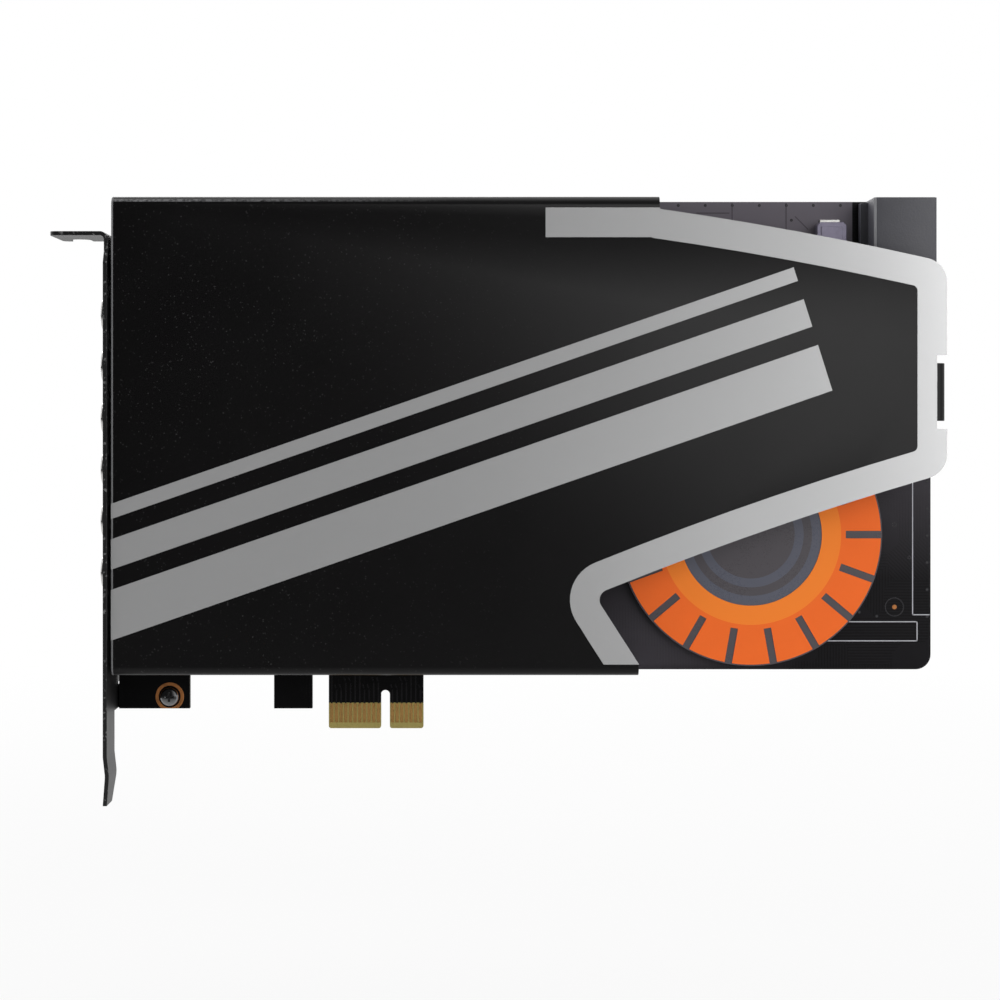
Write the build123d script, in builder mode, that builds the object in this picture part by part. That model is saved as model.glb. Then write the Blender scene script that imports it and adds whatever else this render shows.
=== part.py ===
"""Plug-in sound card: slot bracket, board with edge tongue, folded shield cover and lit ring.

Lengths are in millimetres. X runs along the board away from the bracket, Z runs up away from the
slot and Y runs from the component side to the solder side. The origin is the middle of the slot key
at the foot of the edge tongue, half way through the board.
"""

from build123d import *
import math
import os

os.makedirs("parts", exist_ok=True)


def save(piece, name):
    """Label a finished piece and write it as one STEP file."""
    piece.label = name
    export_step(piece, f"parts/{name}.step")


# Board
board_thickness = 1.6
board_length = 174.15
board_height = 100.3
board_corner = 3.2
board_top_corner = 0.8
tongue_drop = 12.7
tongue_left = 12.15
tongue_right = 8.15
tongue_corner = 0.5
key_width = 1.9
key_depth = 8.25
bevel_rise = 1.2
bevel_depth = 0.4
tab_drop = 8.4
ear_tab_width = 15.15
ear_tab_corner = 1.0
foot_tab_width = 8.2
foot_tab_gap = 3.55

# Edge contacts
contact_pitch = 1.0
contact_width = 0.7
contact_top = 5.4
contact_margin = 0.1
contacts_left = 11
contacts_right = 7
key_to_contact = 1.5
copper_thickness = 0.05

# Bracket, one folded sheet
bracket_sheet = 0.86
bracket_to_key = 58.36
bracket_width = 18.42
bracket_reach = 14.1
bracket_height = 120.02
bracket_bend = 0.9
flange_top = 105.7
flange_length = 11.43
flange_corner = 1.5
notch_width = 4.42
notch_depth = 5.6
notch_to_plate = 7.2
neck_inset = 1.4
neck_drop = 4.2
neck_slope = 2.4
tail_width = 10.19
tail_jog = 0.45
jog_length = 4.0
jog_to_tip = 6.12
tail_chamfer = 3.4
tail_chamfer_rise = 5.0
board_gap = 0.35
ear_bend = 0.3
ear_half_height = 2.5
ear_relief = 0.6
ear_margin = 3.3

# Bracket screws
bracket_screw_inset = 10.85
bracket_screw_low = 6.85
bracket_screw_spacing = 92.2
screw_radius = 1.2
screw_clearance = 0.15
screw_tap_clearance = 0.05
bracket_head_radius = 2.0
bracket_head_height = 1.2
screw_tip = 0.4

# Shield cover, one folded sheet
cover_rise = 13.0
cover_sheet = 0.8
cover_bend = 1.9
cover_gap = 0.7
cover_overhang = 0.9
cover_foot_gap = 0.3
top_flange_short = 60.0
bottom_flange_short = 64.4
upper_edge_drop = 2.7
upper_corner_drop = 13.9
upper_edge_bulge = 0.65
lower_corner_rise = 42.5
lower_edge_hollow = 1.05
inner_corner_inset = 73.7
inner_corner_rise = 16.95
foot_rise = 2.5
cover_corner = 5.2
inner_corner_radius = 2.2
tab_rise = 53.3
tab_length = 12.1
tab_relief = 1.7
tab_inset = 0.2
tab_root = 1.0

# Silver print on the cover
print_thickness = 0.1
print_margin = 0.5
border_width = 6.2
border_corner = 1.2
border_top_reach = 23.9
border_lean = 18.0
stripe_widths = (10.0, 6.0, 3.0)
stripe_gap = 4.0
stripe_rise = 5.0
stripe_lean = 30.0
stripe_short = 36.0

# Posts that carry the cover
post_flats = 5.0
post_bore_depth = 6.0
post_margin = 6.0
post_right_margin = 7.2
cover_screw_length = 6.0
cover_head_radius = 2.3
cover_head_height = 1.4

# Light disc and its rings
disc_radius = 28.1
disc_thickness = 1.8
disc_to_right = 38.8
disc_to_bottom = 0.9
ring_margin = 0.3
ring_thickness = 0.15
ring_inner = 15.2
ring_split = 20.3
gap_count = 18
gap_width = 1.6
led_length = 2.0
led_width = 1.3
led_height = 0.6
led_count = 8
led_circle = 24.0
led_clearance = 0.3

# Power header
header_width = 13.2
header_height = 10.6
header_depth = 13.6
header_inset = 0.7
header_edge = 0.5
socket_pitch = 4.2
socket_size = 3.5
socket_key = 1.1
socket_depth = 10.5
foot_step = 1.6
foot_step_height = 3.0
pin_size = 1.0
pin_clearance = 0.05
pin_recess = 2.2
pin_row_gap = 3.0

# Filter inductor beside the header
inductor_width = 6.4
inductor_length = 6.6
inductor_height = 3.4
inductor_chamfer = 0.7
inductor_to_header = 4.6
inductor_to_top = 4.6
terminal_width = 4.2
terminal_length = 0.7
terminal_height = 0.5

# Jacks
jack_count = 6
jack_pitch = 10.9
jack_lowest = 34.05
jack_axis_height = 5.5
jack_width = 10.3
jack_height = 10.9
jack_depth = 13.5
jack_gap = 0.3
jack_bore = 1.8
jack_bore_length = 15.0
jack_step_depth = 4.0
jack_step_drop = 3.0
jack_edge = 0.5
nose_radius = 3.2
nose_clearance = 0.2
nose_proud = 1.3
leg_width = 1.2
leg_thickness = 0.3
leg_height = 4.0
leg_pitch = 3.4
legs_per_jack = 3

# Parts of the sound path, in columns from the jacks to the right
part_gap = 1.6
film_length = 7.2
film_width = 3.0
film_height = 7.5
film_edge = 0.3
socket_base_length = 10.2
socket_base_width = 10.0
socket_base_height = 4.4
socket_base_open_length = 6.4
socket_base_open_width = 4.4
op_amp_count = 4
op_amp_length = 9.6
op_amp_width = 6.4
op_amp_height = 3.3
op_amp_edge = 0.4
can_radius = 4.0
can_height = 11.0
can_rows = 4
coupling_length = 8.0
coupling_width = 7.4
coupling_height = 9.0
relay_length = 14.0
relay_width = 7.6
relay_height = 9.6
relay_edge = 0.4
chip_lift = 0.1
chip_edge = 0.15
lead_length = 1.0
lead_thickness = 0.15
converter_length = 10.2
converter_width = 5.3
converter_height = 1.8
amplifier_length = 12.8
amplifier_width = 7.5
amplifier_height = 2.3
amplifier_pitch = 1.27
amplifier_pins = 10
processor_size = 10.0
processor_height = 1.4
lead_width = 0.55
bridge_size = 9.0
bridge_height = 0.9
bridge_rise = 11.0
crystal_length = 7.0
crystal_width = 5.0
crystal_height = 1.8
crystal_flange = 0.4
crystal_flange_height = 0.6

# Supply parts above the light disc
supply_can_radius = 5.0
supply_can_height = 11.4
supply_can_count = 2
regulator_length = 6.5
regulator_width = 3.5
regulator_height = 1.7
regulator_count = 3
regulator_tab_length = 3.0
regulator_tab_width = 1.7
regulator_tab_height = 0.3

# Small chip parts
chip_part_length = 2.0
chip_part_width = 1.25
chip_part_height = 0.8
chip_part_pitch = 3.2
chip_part_columns = 3
chip_part_rows = 5

# Places worked out from the sizes above
board_front = -board_thickness / 2
board_back = board_thickness / 2
bracket_outer = -bracket_to_key
bracket_inner = bracket_outer + bracket_sheet
board_left = bracket_inner + board_gap
board_right = board_left + board_length
board_bottom = tongue_drop
board_top = board_bottom + board_height
board_middle = (board_bottom + board_top) / 2
tab_foot = board_bottom - tab_drop
front_plane = Plane.XZ.offset(-board_front)
back_plane = Plane.XZ.offset(-board_back)
screw_hole = screw_radius + screw_clearance
tap_hole = screw_radius + screw_tap_clearance

bracket_near = board_front - bracket_reach
bracket_far = bracket_near + bracket_width
tail_tip = flange_top - bracket_height
jog_bottom = tail_tip + jog_to_tip
jog_top = jog_bottom + jog_length
tail_far = bracket_near + tail_width
flange_end = bracket_outer - flange_length
bracket_screw_x = board_left + bracket_screw_inset
bracket_screw_heights = (bracket_screw_low, bracket_screw_low + bracket_screw_spacing)
ear_end = bracket_screw_x + ear_margin
ear_bottom = bracket_screw_low - ear_half_height

cover_left = bracket_inner + cover_gap
cover_right = board_right + cover_overhang
cover_top = board_top
cover_bottom = board_bottom
cover_face = board_front - cover_rise
cover_foot = board_front - cover_foot_gap
top_flange_end = cover_right - top_flange_short
bottom_flange_end = cover_right - bottom_flange_short
upper_corner = (cover_right, cover_top - upper_corner_drop)
lower_corner = (cover_right, cover_bottom + lower_corner_rise)
inner_corner = (cover_right - inner_corner_inset, cover_bottom + inner_corner_rise)
tab_low = cover_bottom + tab_rise
tab_outer = cover_right - tab_inset
tab_bend_start = tab_outer - cover_bend

disc_x = board_right - disc_to_right
disc_z = board_bottom + disc_radius + disc_to_bottom
disc_top = disc_z + disc_radius

jack_heights = [jack_lowest + index * jack_pitch for index in range(jack_count)]
jack_middle = (jack_heights[0] + jack_heights[-1]) / 2
jack_axis = board_front - jack_axis_height
jack_front = bracket_inner + jack_gap
jack_back = jack_front + jack_depth
nose_mouth = bracket_outer - nose_proud

header_right = board_right - header_inset
header_left = header_right - header_width
header_x = (header_left + header_right) / 2
header_top = board_top
header_bottom = header_top - header_depth

post_left_x = board_left + post_margin
post_low = board_bottom + post_margin
post_high = board_top - post_margin
post_right_x = board_right - post_right_margin
post_right_z = tab_low + tab_length / 2
post_reach = post_flats / math.sqrt(3)

film_x = jack_back + part_gap + film_length / 2
op_amp_x = film_x + film_length / 2 + part_gap + socket_base_length / 2
can_x = op_amp_x + socket_base_length / 2 + part_gap + can_radius
coupling_x = can_x + can_radius + part_gap + coupling_length / 2
converter_x = coupling_x + coupling_length / 2 + part_gap + converter_length / 2
processor_x = converter_x + converter_length / 2 + part_gap + processor_size / 2
op_amp_step = socket_base_width + part_gap
can_step = 2 * can_radius + part_gap
converter_step = converter_width / 2 + part_gap
op_amp_heights = [
    jack_middle + (index - (op_amp_count - 1) / 2) * op_amp_step for index in range(op_amp_count)
]
can_heights = [jack_middle + (index - (can_rows - 1) / 2) * can_step for index in range(can_rows)]
relay_x = film_x + relay_length / 2 - film_length / 2
relay_heights = (
    jack_heights[0] - film_width / 2 - part_gap - relay_width / 2,
    jack_heights[-1] + film_width / 2 + part_gap + relay_width / 2,
)
amplifier_x = relay_x + relay_length / 2 + part_gap + amplifier_length / 2
post_high_x = amplifier_x + amplifier_length / 2 + part_gap + post_reach
post_places = ((post_left_x, post_low), (post_high_x, post_high), (post_right_x, post_right_z))
column_top = max(can_heights[-1] + can_radius, op_amp_heights[-1] + socket_base_width / 2)
amplifier_z = column_top + part_gap + lead_length + amplifier_width / 2
bridge_x = 0.0
bridge_z = board_bottom + bridge_rise
output_converter_z = jack_middle + converter_step
input_converter_z = jack_middle - converter_step
crystal_x = processor_x
crystal_step = processor_size / 2 + part_gap + crystal_width / 2
crystal_heights = (jack_middle - crystal_step, jack_middle + crystal_step)
supply_can_x = post_right_x - post_reach - part_gap - supply_can_radius
supply_can_z = disc_top + part_gap + supply_can_radius
supply_can_places = [
    (supply_can_x - index * (2 * supply_can_radius + part_gap), supply_can_z)
    for index in range(supply_can_count)
]
regulator_z = supply_can_z + supply_can_radius + part_gap + regulator_width / 2
regulator_places = [
    (disc_x - index * (regulator_length + part_gap), regulator_z) for index in range(regulator_count)
]
memory_side_x = processor_x + processor_size / 2 + part_gap + chip_part_columns * chip_part_pitch / 2
bridge_side_z = bridge_z + bridge_size / 2 + part_gap + chip_part_width / 2
inductor_x = header_left - inductor_to_header - inductor_width / 2
inductor_z = board_top - inductor_to_top - inductor_length / 2


# Board: long rectangle with a bracket ear, a foot tab and the edge tongue hanging below it
with BuildPart() as circuit_board:
    with BuildSketch(back_plane):
        with Locations(((board_left + board_right) / 2, board_middle)):
            Rectangle(board_length, board_height)
        foot_tab_right = -tongue_left - foot_tab_gap
        hanging = (
            (board_left, board_left + ear_tab_width, tab_foot),
            (foot_tab_right - foot_tab_width, foot_tab_right, tab_foot),
            (-tongue_left, tongue_right, 0.0),
        )
        for left, right, foot in hanging:
            with Locations(((left + right) / 2, (foot + board_middle) / 2)):
                Rectangle(right - left, board_middle - foot)
        SlotOverall(2 * key_depth, key_width, rotation=90, mode=Mode.SUBTRACT)
        corners = vertices()
        fillet(corners.group_by(Axis.X)[-1].sort_by(Axis.Y)[0], board_corner)
        fillet(vertices().group_by(Axis.X)[-1].sort_by(Axis.Y)[-1], board_top_corner)
        fillet(vertices().filter_by_position(Axis.Y, tab_foot, tab_foot), ear_tab_corner)
        fillet(vertices().filter_by_position(Axis.Y, 0.0, 0.0), tongue_corner)
    extrude(amount=board_thickness)
    with BuildSketch(Plane.YZ):
        for side in (-1, 1):
            with BuildLine():
                Polyline(
                    (side * board_thickness / 2, 0.0),
                    (side * board_thickness / 2, bevel_rise),
                    (side * (board_thickness / 2 - bevel_depth), 0.0),
                    close=True,
                )
            make_face()
    extrude(amount=tongue_left + tongue_right, both=True, mode=Mode.SUBTRACT)
    with BuildSketch(back_plane):
        with Locations(*[(bracket_screw_x, height) for height in bracket_screw_heights]):
            Circle(screw_hole)
        with Locations(*post_places):
            Circle(screw_hole)
    extrude(amount=board_thickness, mode=Mode.SUBTRACT)
save(circuit_board.part, "circuit_board")

# Gold contacts on both faces of the tongue
contact_foot = bevel_rise + contact_margin
contact_places = [-key_to_contact - index * contact_pitch for index in range(contacts_left)]
contact_places += [key_to_contact + index * contact_pitch for index in range(contacts_right)]
with BuildPart() as edge_contacts:
    for plane, amount in ((front_plane, copper_thickness), (back_plane, -copper_thickness)):
        with BuildSketch(plane):
            with Locations(*[(x, (contact_foot + contact_top) / 2) for x in contact_places]):
                Rectangle(contact_width, contact_top - contact_foot)
        extrude(amount=amount)
save(edge_contacts.part, "edge_contacts")

# Bracket: one sheet with a top flange, a jogged tail and two ears folded behind the board
with BuildPart() as bracket:
    with BuildSketch(Plane.XZ.offset(-bracket_far)):
        with BuildLine():
            FilletPolyline(
                (flange_end, flange_top - bracket_sheet),
                (bracket_outer, flange_top - bracket_sheet),
                (bracket_outer, jog_top),
                (bracket_outer + tail_jog, jog_bottom),
                (bracket_outer, tail_tip),
                radius=(bracket_bend, tail_width / 2, tail_width / 2),
            )
            offset(amount=bracket_sheet, side=Side.LEFT)
        make_face()
    extrude(amount=bracket_width)
    with BuildSketch(Plane.YZ.offset(flange_end)):
        with BuildLine():
            Polyline(
                (bracket_near + neck_inset, flange_top),
                (bracket_far, flange_top),
                (bracket_far, ear_bottom),
                (tail_far, ear_bottom),
                (tail_far, tail_tip + tail_chamfer_rise),
                (tail_far - tail_chamfer, tail_tip),
                (bracket_near, tail_tip),
                (bracket_near, flange_top - neck_drop - neck_slope),
                (bracket_near + neck_inset, flange_top - neck_drop),
                close=True,
            )
        make_face()
    extrude(amount=flange_length + 2 * bracket_sheet, mode=Mode.INTERSECT)
    fillet(
        bracket.edges().filter_by(Axis.Z).group_by(Axis.X)[0],
        flange_corner,
    )
    with BuildSketch(Plane.XY.offset(flange_top)):
        with Locations((bracket_outer - notch_to_plate, bracket_far)):
            SlotOverall(2 * notch_depth, notch_width, rotation=90)
    extrude(amount=-2 * bracket_sheet, mode=Mode.SUBTRACT)
    with BuildSketch(Plane.YZ.offset(bracket_outer)):
        with Locations(*[(jack_axis, height) for height in jack_heights]):
            Circle(nose_radius + nose_clearance)
    extrude(amount=bracket_sheet, mode=Mode.SUBTRACT)
    ear_clear = bracket_far - board_back + ear_bend
    with BuildSketch(Plane.YZ.offset(bracket_outer)):
        for height in bracket_screw_heights:
            with Locations((bracket_far - ear_clear / 2, height)):
                Rectangle(ear_clear, 2 * (ear_half_height + ear_relief))
    extrude(amount=bracket_sheet, mode=Mode.SUBTRACT)
    for height in bracket_screw_heights:
        with BuildSketch(Plane.XY.offset(height - ear_half_height)):
            with BuildLine():
                FilletPolyline(
                    (bracket_inner, board_back - 2 * ear_bend),
                    (bracket_inner, board_back),
                    (ear_end, board_back),
                    radius=ear_bend,
                )
                offset(amount=bracket_sheet, side=Side.LEFT)
            make_face()
        extrude(amount=2 * ear_half_height)
    with BuildSketch(back_plane):
        with Locations(*[(bracket_screw_x, height) for height in bracket_screw_heights]):
            Circle(tap_hole)
    extrude(amount=-bracket_sheet, mode=Mode.SUBTRACT)
save(bracket.part, "bracket")

# Screws through the board into the bracket's ears
screw_reach = board_thickness + bracket_sheet + screw_tip
with BuildPart() as bracket_screws:
    with BuildSketch(front_plane):
        with Locations(*[(bracket_screw_x, height) for height in bracket_screw_heights]):
            Circle(bracket_head_radius)
    extrude(amount=bracket_head_height)
    with BuildSketch(front_plane):
        with Locations(*[(bracket_screw_x, height) for height in bracket_screw_heights]):
            Circle(screw_radius)
    extrude(amount=-screw_reach)
save(bracket_screws.part, "bracket_screws")

# Outline of the cover seen from the front, with its cut-away right end
with BuildSketch() as cover_outline:
    with BuildLine():
        Polyline(
            (bottom_flange_end, cover_bottom),
            (cover_left, cover_bottom),
            (cover_left, cover_top),
            (top_flange_end, cover_top),
            (top_flange_end, cover_top - upper_edge_drop),
        )
        SagittaArc((top_flange_end, cover_top - upper_edge_drop), upper_corner, upper_edge_bulge)
        Line(upper_corner, lower_corner)
        SagittaArc(lower_corner, inner_corner, -lower_edge_hollow)
        Polyline(
            inner_corner,
            (bottom_flange_end, cover_bottom + foot_rise),
            (bottom_flange_end, cover_bottom),
        )
    make_face()
    fillet(vertices().group_by(Axis.X)[-1], cover_corner)
    at_inner_corner = vertices().sort_by_distance(inner_corner)[0]
    fillet(at_inner_corner, inner_corner_radius)

# Cover: one sheet folded into a channel, trimmed to the outline, with a bent tab at the right
with BuildPart() as shield_cover:
    with BuildSketch(Plane.YZ.offset(cover_left)):
        with BuildLine():
            FilletPolyline(
                (cover_foot, cover_bottom),
                (cover_face, cover_bottom),
                (cover_face, cover_top),
                (cover_foot, cover_top),
                radius=cover_bend,
            )
            offset(amount=cover_sheet, side=Side.RIGHT)
        make_face()
    extrude(amount=cover_right - cover_left)
    with BuildSketch(front_plane):
        add(cover_outline.sketch)
        with Locations((cover_right, tab_low + tab_length / 2)):
            Rectangle(2 * (cover_right - tab_bend_start), tab_length + 2 * tab_relief, mode=Mode.SUBTRACT)
    extrude(amount=cover_rise, mode=Mode.INTERSECT)
    with BuildSketch(Plane.XY.offset(tab_low)):
        with BuildLine():
            FilletPolyline(
                (tab_bend_start - tab_root, cover_face),
                (tab_outer, cover_face),
                (tab_outer, cover_foot),
                radius=cover_bend,
            )
            offset(amount=cover_sheet, side=Side.LEFT)
        make_face()
    extrude(amount=tab_length)
save(shield_cover.part, "shield_cover")

# Silver print: a border along the cut-away end and three straight stripes of falling width
print_low = cover_bottom + cover_bend + print_margin
print_high = cover_top - cover_bend - print_margin
stripe_end = cover_right - stripe_short
stripe_slope = math.atan2(lower_corner[1] - inner_corner[1], lower_corner[0] - inner_corner[0])
with BuildSketch() as print_field:
    add(cover_outline.sketch)
    with Locations(((cover_left + cover_right) / 2, (print_low + print_high) / 2)):
        Rectangle(cover_right - cover_left, print_high - print_low, mode=Mode.INTERSECT)
    with Locations((cover_right, tab_low + tab_length / 2)):
        Rectangle(2 * (cover_right - tab_bend_start), tab_length + 2 * tab_relief, mode=Mode.SUBTRACT)
border_start = top_flange_end - border_top_reach
foot_slope = math.atan2(inner_corner_rise - foot_rise, bottom_flange_end - inner_corner[0])
border_foot = border_width / math.sin(foot_slope)
with BuildSketch() as border_inside:
    add(cover_outline.sketch)
    with Locations(((cover_left + cover_right) / 2, (print_low + print_high) / 2)):
        Rectangle(cover_right - cover_left, print_high - print_low, mode=Mode.INTERSECT)
    offset(amount=-border_width)
    fillet(vertices().group_by(Axis.X)[-1], border_corner)
with BuildSketch() as print_border:
    add(print_field.sketch)
    add(border_inside.sketch, mode=Mode.SUBTRACT)
    with BuildLine():
        Polyline(
            (border_start, print_high),
            (cover_right, print_high),
            (cover_right, print_low),
            (bottom_flange_end - border_foot, print_low),
            (inner_corner[0] - border_foot, inner_corner[1]),
            (border_start, inner_corner[1] + border_lean),
            close=True,
        )
    make_face(mode=Mode.INTERSECT)
with BuildSketch() as print_stripes:
    offset_up = 0.0
    for width in stripe_widths:
        with Locations((cover_left, print_low + stripe_rise)):
            with Locations(Location((0, 0, 0), (0, 0, math.degrees(stripe_slope)))):
                with Locations((0, offset_up + width / 2)):
                    Rectangle(2 * (cover_right - cover_left), width)
        offset_up += width + stripe_gap
    add(print_field.sketch, mode=Mode.INTERSECT)
    with BuildLine():
        Polyline(
            (cover_left, print_low),
            (stripe_end + stripe_lean, print_low),
            (stripe_end, print_high),
            (cover_left, print_high),
            close=True,
        )
    make_face(mode=Mode.INTERSECT)
with BuildPart() as cover_print:
    with BuildSketch(front_plane.offset(cover_rise)):
        add(print_border.sketch)
        add(print_stripes.sketch)
    extrude(amount=print_thickness)
save(cover_print.part, "cover_print")

# Six-sided posts between the board and the cover, tapped from the board's end
with BuildPart() as cover_standoffs:
    with BuildSketch(front_plane):
        with Locations(*post_places):
            RegularPolygon(post_flats / 2, 6, major_radius=False)
    extrude(amount=cover_rise - cover_sheet)
    with BuildSketch(front_plane):
        with Locations(*post_places):
            Circle(tap_hole)
    extrude(amount=post_bore_depth, mode=Mode.SUBTRACT)
save(cover_standoffs.part, "cover_standoffs")

# Screws from the solder side into the posts
with BuildPart() as cover_screws:
    with BuildSketch(back_plane):
        with Locations(*post_places):
            Circle(cover_head_radius)
    extrude(amount=-cover_head_height)
    with BuildSketch(back_plane):
        with Locations(*post_places):
            Circle(screw_radius)
    extrude(amount=cover_screw_length)
save(cover_screws.part, "cover_screws")

# Smoked light disc on the board, with a pocket over each lamp
with BuildPart() as light_disc:
    with BuildSketch(front_plane):
        with Locations((disc_x, disc_z)):
            Circle(disc_radius)
    extrude(amount=disc_thickness)
    with BuildSketch(front_plane):
        with Locations((disc_x, disc_z)):
            with PolarLocations(led_circle, led_count):
                Rectangle(led_width + 2 * led_clearance, led_length + 2 * led_clearance)
    extrude(amount=led_height + led_clearance, mode=Mode.SUBTRACT)
save(light_disc.part, "light_disc")

# Orange ring: a whole inner band and an outer band cut into blocks by straight gaps
with BuildPart() as orange_ring:
    with BuildSketch(front_plane.offset(disc_thickness)):
        with Locations((disc_x, disc_z)):
            Circle(disc_radius - ring_margin)
            Circle(ring_inner, mode=Mode.SUBTRACT)
            with PolarLocations((ring_split + disc_radius) / 2, gap_count):
                Rectangle(disc_radius - ring_split, gap_width, mode=Mode.SUBTRACT)
    extrude(amount=ring_thickness)
save(orange_ring.part, "orange_ring")

# Lamps under the disc
with BuildPart() as ring_leds:
    with BuildSketch(front_plane):
        with Locations((disc_x, disc_z)):
            with PolarLocations(led_circle, led_count):
                Rectangle(led_width, led_length)
    extrude(amount=led_height)
save(ring_leds.part, "ring_leds")

# Power header: moulded block with six pockets in its mouth and a step along its inner side
row_heights = (header_height / 2 - socket_pitch / 2, header_height / 2 + socket_pitch / 2)
column_places = [header_x + index * socket_pitch for index in (-1, 0, 1)]
with BuildPart() as power_header:
    with BuildSketch(front_plane):
        with Locations((header_x, (header_top + header_bottom) / 2)):
            Rectangle(header_width, header_depth)
    extrude(amount=header_height)
    chamfer(power_header.edges().filter_by(Axis.Z).group_by(Axis.Y)[0], header_edge)
    with BuildSketch(front_plane):
        with Locations((header_left - foot_step / 2, (header_top + header_bottom) / 2)):
            Rectangle(foot_step, header_depth - 2 * header_edge)
    extrude(amount=foot_step_height)
    with BuildSketch(Plane.XY.offset(header_top)):
        for row, height in enumerate(row_heights):
            for column, x in enumerate(column_places):
                with Locations((x, board_front - height)):
                    pocket = Rectangle(socket_size, socket_size)
                    if (row + column) % 2:
                        chamfer(pocket.vertices().group_by(Axis.Y)[0], socket_key)
    extrude(amount=-socket_depth, mode=Mode.SUBTRACT)
    with BuildSketch(Plane.XY.offset(header_top)):
        with Locations(*[(x, board_front - height) for x in column_places for height in row_heights]):
            Rectangle(pin_size + 2 * pin_clearance, pin_size + 2 * pin_clearance)
    extrude(amount=-header_depth, mode=Mode.SUBTRACT)
save(power_header.part, "power_header")

# Square pins: straight in the pockets, bent down to the board behind the block
with BuildPart() as power_pins:
    for row, height in enumerate(row_heights):
        pin_y = board_front - height
        bend_z = header_bottom - pin_size - row * pin_row_gap
        for x in column_places:
            with BuildSketch(Plane.YZ.offset(x - pin_size / 2)):
                with BuildLine():
                    Polyline(
                        (pin_y - pin_size / 2, header_top - pin_recess),
                        (pin_y + pin_size / 2, header_top - pin_recess),
                        (pin_y + pin_size / 2, bend_z),
                        (board_front, bend_z),
                        (board_front, bend_z - pin_size),
                        (pin_y - pin_size / 2, bend_z - pin_size),
                        close=True,
                    )
                make_face()
            extrude(amount=pin_size)
save(power_pins.part, "power_pins")

# Filter inductor: square can with cut corners, and a soldered terminal at each end
with BuildPart() as filter_inductor:
    with BuildSketch(front_plane):
        with Locations((inductor_x, inductor_z)):
            Rectangle(inductor_width, inductor_length)
        chamfer(vertices(), inductor_chamfer)
    extrude(amount=inductor_height)
save(filter_inductor.part, "filter_inductor")
with BuildPart() as inductor_terminals:
    with BuildSketch(front_plane):
        for side in (-1, 1):
            with Locations((inductor_x, inductor_z + side * (inductor_length + terminal_length) / 2)):
                Rectangle(terminal_width, terminal_length)
    extrude(amount=terminal_height)
save(inductor_terminals.part, "inductor_terminals")

# Jacks: a moulded body with a lower back and a round nose that comes out through the bracket
for number, height in enumerate(jack_heights, start=1):
    with BuildPart() as audio_jack:
        with BuildSketch(Plane.XY.offset(height - jack_width / 2)):
            with BuildLine():
                Polyline(
                    (jack_front, board_front),
                    (jack_back, board_front),
                    (jack_back, board_front - jack_height + jack_step_drop),
                    (jack_back - jack_step_depth, board_front - jack_height),
                    (jack_front, board_front - jack_height),
                    close=True,
                )
            make_face()
        extrude(amount=jack_width)
        chamfer(audio_jack.edges().filter_by(Axis.X).group_by(Axis.Y)[0], jack_edge)
        with BuildSketch(Plane.YZ.offset(nose_mouth)):
            with Locations((jack_axis, height)):
                Circle(nose_radius)
        extrude(amount=jack_front - nose_mouth)
        with BuildSketch(Plane.YZ.offset(nose_mouth)):
            with Locations((jack_axis, height)):
                Circle(jack_bore)
        extrude(amount=jack_bore_length, mode=Mode.SUBTRACT)
    save(audio_jack.part, f"audio_jack_{number}")

# Soldered legs behind each jack
with BuildPart() as jack_terminals:
    with BuildSketch(front_plane):
        for height in jack_heights:
            with Locations((jack_back + leg_thickness / 2, height)):
                with GridLocations(0, leg_pitch, 1, legs_per_jack):
                    Rectangle(leg_thickness, leg_width)
    extrude(amount=leg_height)
save(jack_terminals.part, "jack_terminals")

# Film capacitors, one behind each jack
with BuildPart() as film_capacitors:
    with BuildSketch(front_plane):
        with Locations(*[(film_x, height) for height in jack_heights]):
            Rectangle(film_length, film_width)
    extrude(amount=film_height)
    chamfer(film_capacitors.faces().group_by(Axis.Y)[0].edges(), film_edge)
save(film_capacitors.part, "film_capacitors")

# Operational amplifiers, each plugged into an open socket frame
for number, height in enumerate(op_amp_heights, start=1):
    with BuildPart() as op_amp_socket:
        with BuildSketch(front_plane):
            with Locations((op_amp_x, height)):
                Rectangle(socket_base_length, socket_base_width)
                Rectangle(socket_base_open_length, socket_base_open_width, mode=Mode.SUBTRACT)
        extrude(amount=socket_base_height)
    save(op_amp_socket.part, f"op_amp_socket_{number}")
    with BuildPart() as op_amp:
        with BuildSketch(front_plane.offset(socket_base_height)):
            with Locations((op_amp_x, height)):
                Rectangle(op_amp_length, op_amp_width)
        extrude(amount=op_amp_height)
        chamfer(op_amp.faces().group_by(Axis.Y)[0].edges(), op_amp_edge)
    save(op_amp.part, f"op_amp_{number}")

# Electrolytic cans of the sound path, and a boxed coupling capacitor beside each
with BuildPart() as output_capacitors:
    with BuildSketch(front_plane):
        with Locations(*[(can_x, height) for height in can_heights]):
            Circle(can_radius)
    extrude(amount=can_height)
save(output_capacitors.part, "output_capacitors")
with BuildPart() as coupling_capacitors:
    with BuildSketch(front_plane):
        with Locations(*[(coupling_x, height) for height in can_heights]):
            Rectangle(coupling_length, coupling_width)
    extrude(amount=coupling_height)
    chamfer(coupling_capacitors.faces().group_by(Axis.Y)[0].edges(), film_edge)
save(coupling_capacitors.part, "coupling_capacitors")

# Signal relays below and above the film capacitors
for number, height in enumerate(relay_heights, start=1):
    with BuildPart() as relay:
        with BuildSketch(front_plane):
            with Locations((relay_x, height)):
                Rectangle(relay_length, relay_width)
        extrude(amount=relay_height)
        chamfer(relay.faces().group_by(Axis.Y)[0].edges(), relay_edge)
    save(relay.part, f"relay_{number}")


def build_chip(x, z, length, width, height, lift, name):
    """Make one moulded chip body at its height above the board and save it."""
    with BuildPart() as chip:
        with BuildSketch(front_plane.offset(lift)):
            with Locations((x, z)):
                Rectangle(length, width)
        extrude(amount=height)
        chamfer(chip.faces().group_by(Axis.Y)[0].edges(), chip_edge)
    save(chip.part, name)


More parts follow.
